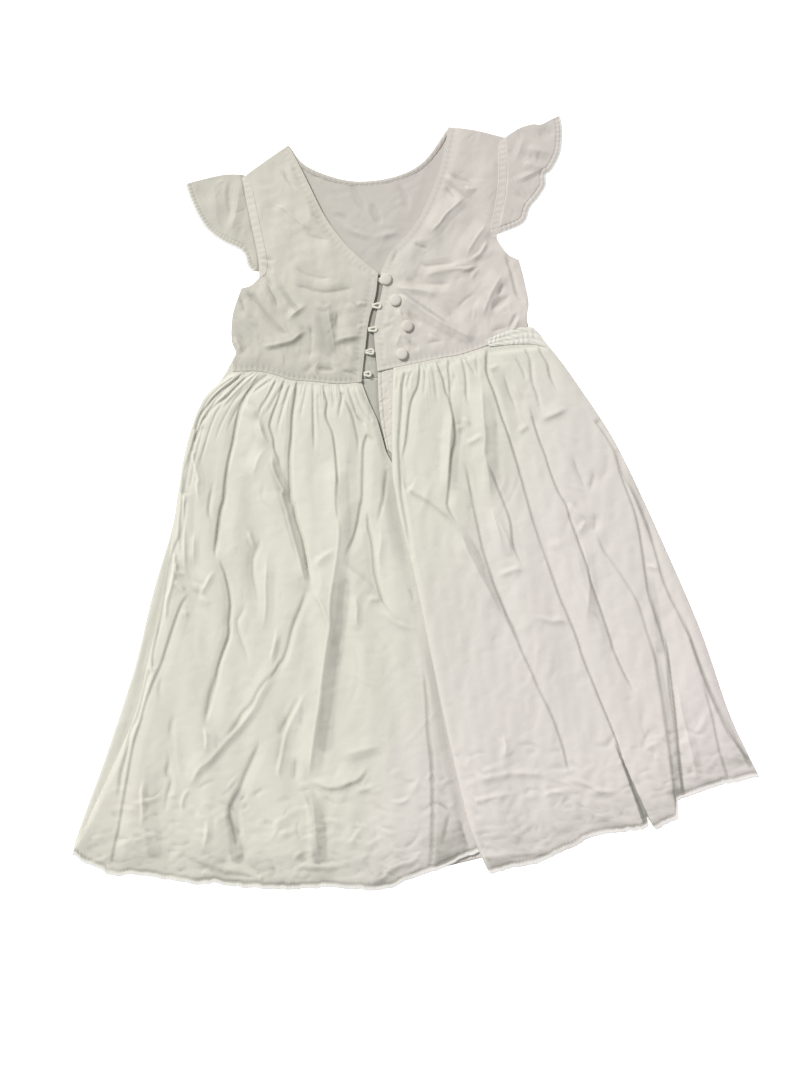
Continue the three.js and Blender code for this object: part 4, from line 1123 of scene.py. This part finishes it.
bodice_back = back_panel(
    "bodice_back", (edge([SHOULDER_LEFT, NECK_LEFT], NECK_BACK, [NECK_RIGHT, SHOULDER_RIGHT]),
                    spline([BACK_WAIST_LEFT, BACK_WAIST_RIGHT]),
                    edge(ARMHOLE_LEFT, UNDERARM_LEFT, SIDE_LEFT[:-1] + [BACK_WAIST_LEFT]),
                    edge(ARMHOLE_RIGHT, UNDERARM_RIGHT, SIDE_RIGHT[:-1] + [BACK_WAIST_RIGHT])),
    41, shaded_inner_cotton, BODICE_BACK, room_in_neck, 181, 151)
skirt_back = back_panel(
    "skirt_back", (spline([SKIRT_TOP_LEFT, SKIRT_TOP_RIGHT]), spline(SKIRT_BACK_HEM),
                   spline([SKIRT_TOP_LEFT] + BACK_SIDE_LEFT[1:]),
                   spline([SKIRT_TOP_RIGHT] + SKIRT_SIDE_RIGHT[3:])),
    43, cotton, SKIRT_BACK, room_at_side, 201, 201)


# ------------------------------------------------------- facing, casing, binding and the ruffles

def placket_facing():
    """The turned-in strip down the slit: puckered, stitched to a point at its foot."""
    us, vs = np.linspace(0, 1, 41), np.linspace(0, 1, 161)
    x, y = patch(spline([WAIST_SLIT_RIGHT, WAIST_LAP]), spline([FACING_EDGE[-1], FACING_TIP]),
                 spline(FACING_EDGE), spline([WAIST_LAP, (8, -40), FACING_TIP]), us, vs)
    u = np.broadcast_to(us, x.shape)
    z = FRONT_Z + 0.5 + 0.3 * swell(x, y, 12, 51)
    z += crinkles(x, y, 40, (-9, -84, 9, 5), 20, 40, 9, 0.4, 2, 52)
    z += 0.3 * np.exp(-((u - 0.12) / 0.08) ** 2) - 0.3 * np.exp(-((u - 0.25) / 0.05) ** 2)
    z = np.maximum(z, FRONT_Z)
    return shell("placket_facing", x, y, z, trim_cotton)


placket = placket_facing()


def joined(parts):
    """Points and faces of several pieces as those of one."""
    points, faces, count = [], [], 0
    for p, f in parts:
        points.append(p)
        faces.append(f + count)
        count += len(p)
    return np.concatenate(points), np.concatenate(faces)


CASING_CLOTH = 0.6                     # thickness of the casing's cloth
CASING_STITCHES = 3                    # rows of stitches across it
CASING_ROWS = 29                       # points across it


def sheet(x, y, z):
    """Points and triangles of a flat-bottomed grid of cloth."""
    points = np.concatenate([rows_of(x, y, z), rows_of(x, y, np.maximum(z - CASING_CLOTH, 0))])
    upper = np.arange(x.size).reshape(x.shape)
    rim = border(upper)
    start, end = rim[:-1], rim[1:]
    wall = np.concatenate([rows_of(start, start + x.size, end),
                           rows_of(start + x.size, end + x.size, end)])
    return points, np.concatenate([triangles(upper), triangles(upper + x.size, flip=True), wall])


def gathered_band(top, bottom, left, right, height, columns):
    """Casing cloth drawn up on rows of stitches, so that it puckers between them."""
    us, vs = np.linspace(0, 1, columns), np.linspace(0, 1, CASING_ROWS)
    x, y = patch(spline(top), spline(bottom), spline(left), spline(right), us, vs)
    v = np.broadcast_to(vs[:, None], x.shape)
    between = np.abs(np.sin(np.pi * v * CASING_STITCHES))
    wave = np.sin((x + 0.6 * y) / 1.0 + 2.6 * np.sin(x / 6.5 + 5 * v)) * (0.3 + 0.7 * between)
    z = height + 0.5 * between + 0.32 * wave + 0.3 * swell(x, y, 14, 9)
    return x, y, z


def waist_casing():
    back = gathered_band([(-153, 25), (159, 25)], [(-176, -2.2), (173, -2.2)],
                         [(-153, 25), (-161, 15), (-170, 6), (-176, -2.2)],
                         [(159, 25), (163, 16), (168, 7), (173, -2.2)], 0.8, 341)
    turn = gathered_band([(103, 25), (123, 30), (140, 34), (153, 32)],
                         [(107, 17), (128, 17), (150, 15), (168, 8)],
                         [(103, 25), (107, 17)], [(153, 32), (160, 21), (168, 8)], FRONT_Z + 1.7, 141)
    bit = gathered_band([(-149, 33), (-139, 22)], [(-179, -2), (-171, -7)],
                        [(-149, 33), (-160, 17), (-170, 6), (-179, -2)], [(-139, 22), (-171, -7)],
                        FRONT_Z - 0.9, 41)
    back_x, back_y, back_z = back
    points, faces = joined([sheet(back_x, back_y, np.clip(back_z, CLOTH, 1.2)), sheet(*turn), sheet(*bit)])
    x, y = points[:, 0][None], points[:, 1][None]
    # painted shade where the back shows through the opening, and a faint painted highlight on the raised turn
    # at the right
    tone = within_opening(x, y)[0] + 0.2 * (points[:, 0] > 100) * (points[:, 2] > 2)
    return mesh_piece("waist_casing", points, faces, cotton, tone)


casing = waist_casing()


def neck_binding():
    x, y, step = ribbon(edge(NECK_BACK), BINDING_WIDTH, 201)
    z = BACK_Z + 1.3 - 0.5 * (step / BINDING_WIDTH - 0.45) ** 2 * 4 - 0.3 * np.exp(-((step - 3.6) / 0.4) ** 2)
    z += 0.12 * np.sin(x * 2 * math.pi / 5.2)
    return shell("neck_binding", x, y, z, shaded_inner_cotton, floor=BACK_Z)


binding = neck_binding()


def sleeve(name, fold_line, end, hem, armhole, table, seed):
    """A ruffle laid double, its outer rim rolled and stitched."""
    left, right = (hem, armhole) if hem[-1][0] < armhole[-1][0] else (armhole, hem)
    x, y = patch(spline(fold_line), spline(end), spline(left), spline(right),
                 np.linspace(0, 1, 121), np.linspace(0, 1, 121))
    d, share = distance(x, y, spline(hem, 6))
    d = np.abs(d)
    z = 1.5 + fold_table(x, y, table) + 0.9 * swell(x, y, 26, seed)
    z += crinkles(x, y, 40, extent(x, y), 60, 50, 14, 0.25, 2.5, seed + 1)
    z = FRONT_Z + 0.3 + (soft_floor(z) - 0.3) * (0.3 + 0.7 * smooth(d / 8))
    tucked = smooth(1 - np.abs(distance(x, y, spline(armhole, 6))[0]) / 5)
    z += (1.5 - z) * tucked
    z += (1 - tucked) * 0.6 * smooth(1 - np.abs(d - 3.0) / 3.0) - 0.4 * np.exp(-((d - 6.0) / 0.7) ** 2)
    z += 0.25 * np.sin(share * 190) * np.exp(-((d - 4) / 3) ** 2) * (1 - tucked)
    # painted highlight along the ruffle's rolled rim; the rest of the ruffle a little darker
    tone = -0.5 + 1.3 * smooth((3 - d) / 1.5) * (1 - tucked)
    return shell(name, x, y, z, ruffle_cotton, tone=tone)


sleeve_left = sleeve(
    "sleeve_left", [(-179, 210), (-172, 212), (-140, 216), (-119, 214)], [(-122, 117), (-113, 116)],
    [(-179, 210), (-176, 196), (-170, 178), (-161, 162), (-148, 150), (-130, 138), (-126, 124), (-122, 117)],
    [(-119, 214), (-115, 170), (-111, 130), (-113, 116)], SLEEVE_LEFT, 61)
sleeve_right = sleeve(
    "sleeve_right", [(141, 222), (158, 231), (172, 234), (181, 233), (192, 237), (201, 240)],
    [(123, 128), (131, 129)],
    [(201, 240), (202, 228), (200, 211), (196, 199), (187, 186), (181, 182), (180, 172), (172, 161),
     (162, 151), (157, 140), (149, 134), (131, 129)],
    [(141, 222), (138, 179), (129, 147), (123, 128)], SLEEVE_RIGHT, 67)


# --------------------------------------------------------------------------- buttons and loops

BUTTONS = [(11, 95), (18, 73), (27, 46), (19, 19)]
BUTTON_PROFILE = [(0.01, -0.2), (3.2, -0.2), (4.9, 0.2), (5.7, 1.0), (5.8, 1.6), (5.4, 2.4), (4.3, 2.9),
                  (2.4, 3.2), (0.01, 3.3)]
BUTTON_LEAN = [0, 0, 12, 0]             # degrees that each one tips to the side
LOOPS = [((2, 95), 14, 4.2), ((-7, 70), 10.0, 2.3), ((-13.5, 47), 10.0, 2.0), ((-18.5, 25), 9.6, 2.3),
         ((-22.5, 3), 8.6, 2.2)]
CORD = 1.2                              # radius of the loops' cord


def button(number, place, lean):
    """A button covered in the dress's own cloth, drawn in under its edge."""
    profile = spline(BUTTON_PROFILE, 5)
    turns = np.linspace(0, 2 * math.pi, 49)
    radius, rise = profile[:, 0][:, None], profile[:, 1][:, None]
    pleat = 1 + 0.02 * np.sin(turns * 11 + number)[None] * smooth((2.4 - rise) / 2)
    x, y = radius * pleat * np.cos(turns)[None], radius * pleat * np.sin(turns)[None]
    tip = math.radians(lean)
    z = rise + 0 * x
    x, z = x * math.cos(tip) + z * math.sin(tip), z * math.cos(tip) - x * math.sin(tip) + lean * 0.05
    under = right_height(np.array([[place[0]]], float), np.array([[place[1]]], float))[0, 0]
    points = np.stack([x + place[0], y + place[1], z + under + 0.3], -1).reshape(-1, 3)
    grid = np.arange(x.size).reshape(x.shape)
    name = f"button_{number}"
    return mesh_piece(name, points, triangles(grid), trim_cotton)


def loop(number, root, reach, half_width):
    """A thin cord sewn under the edge at its two ends and standing out beyond it."""
    turns = np.linspace(-math.pi / 2, math.pi / 2, 15)
    nose = [(reach - half_width + half_width * math.cos(t), half_width * math.sin(t)) for t in turns]
    leg = [(1.6, -0.9), (3.4, -1.2), (5.2, -half_width * 0.8)]
    path = leg + nose + [(a, -b) for a, b in leg[::-1]]
    line = spline(path, 4)
    turn = math.radians(-4)
    x = root[0] + line[:, 0] * math.cos(turn) - line[:, 1] * math.sin(turn)
    y = root[1] + line[:, 0] * math.sin(turn) + line[:, 1] * math.cos(turn)
    start = left_height(x[None, :1], y[None, :1])[0, 0]
    away = np.clip(line[:, 0] / reach, 0, 1)
    z = start - 0.3 + (0.9 if number > 1 else 0.3) * smooth(away * 2.2)
    points, quads = tube(np.stack([x, y, z], -1), CORD, 12)
    name = f"loop_{number}"
    return mesh_piece(name, points, quads, loop_cotton)


for number, (place, lean) in enumerate(zip(BUTTONS, BUTTON_LEAN), 1):
    button(number, place, lean)
for number, (root, reach, half_width) in enumerate(LOOPS, 1):
    loop(number, root, reach, half_width)


# ------------------------------------------------------------------------- floor, light, camera

FLOOR_SIZE, FLOOR_Z = 12, -0.0005      # metres; just clear of the dress's underside
floor_material = bpy.data.materials.new("pale_floor")
floor_material.use_nodes = True
floor_shader = floor_material.node_tree.nodes["Principled BSDF"]
floor_shader.inputs["Base Color"].default_value = (0.95, 0.95, 0.95, 1)
floor_shader.inputs["Roughness"].default_value = 1
floor_shader.inputs["Emission Color"].default_value = (1, 1, 1, 1)
floor_shader.inputs["Emission Strength"].default_value = 0.9
bpy.ops.mesh.primitive_plane_add(size=FLOOR_SIZE, location=(0, 0, FLOOR_Z))
floor = bpy.context.object
floor.name = "floor"
floor.data.materials.append(floor_material)

SUN_TURN, SUN_RISE = math.radians(130), math.radians(47)
SUN_STRENGTH, SUN_SPREAD = 2.68, math.radians(16)
SKY_STRENGTH = 0.32
sun_data = bpy.data.lights.new("window_light", "SUN")
sun_data.energy = SUN_STRENGTH
sun_data.angle = SUN_SPREAD
sun = bpy.data.objects.new("window_light", sun_data)
from_sun = Vector((math.cos(SUN_TURN) * math.cos(SUN_RISE), math.sin(SUN_TURN) * math.cos(SUN_RISE),
                   math.sin(SUN_RISE)))
sun.rotation_euler = from_sun.to_track_quat("Z", "Y").to_euler()
bpy.context.scene.collection.objects.link(sun)
world = bpy.data.worlds.new("studio")
world.use_nodes = True
world.node_tree.nodes["Background"].inputs["Color"].default_value = (1, 1, 1, 1)
world.node_tree.nodes["Background"].inputs["Strength"].default_value = SKY_STRENGTH
bpy.context.scene.world = world
bpy.context.scene.view_settings.view_transform = "Standard"

VIEW_HEIGHT = 1.067                    # metres of floor that the picture takes in, top to bottom
VIEW_DISTANCE = 1.6
SENSOR_HEIGHT = 36                     # millimetres
VIEW_TURN = math.radians(-6)           # the dress lies turned in the picture
VIEW_CENTRE = Vector((-1.7, -159.2, 3)) * MM + ORIGIN
camera_data = bpy.data.cameras.new("camera")
camera_data.sensor_fit = "VERTICAL"
camera_data.sensor_height = SENSOR_HEIGHT
camera_data.lens = SENSOR_HEIGHT * VIEW_DISTANCE / VIEW_HEIGHT
camera = bpy.data.objects.new("camera", camera_data)
camera.location = VIEW_CENTRE + Vector((0, 0, VIEW_DISTANCE))
camera.rotation_euler = (0, 0, VIEW_TURN)
bpy.context.scene.collection.objects.link(camera)
bpy.context.scene.camera = camera
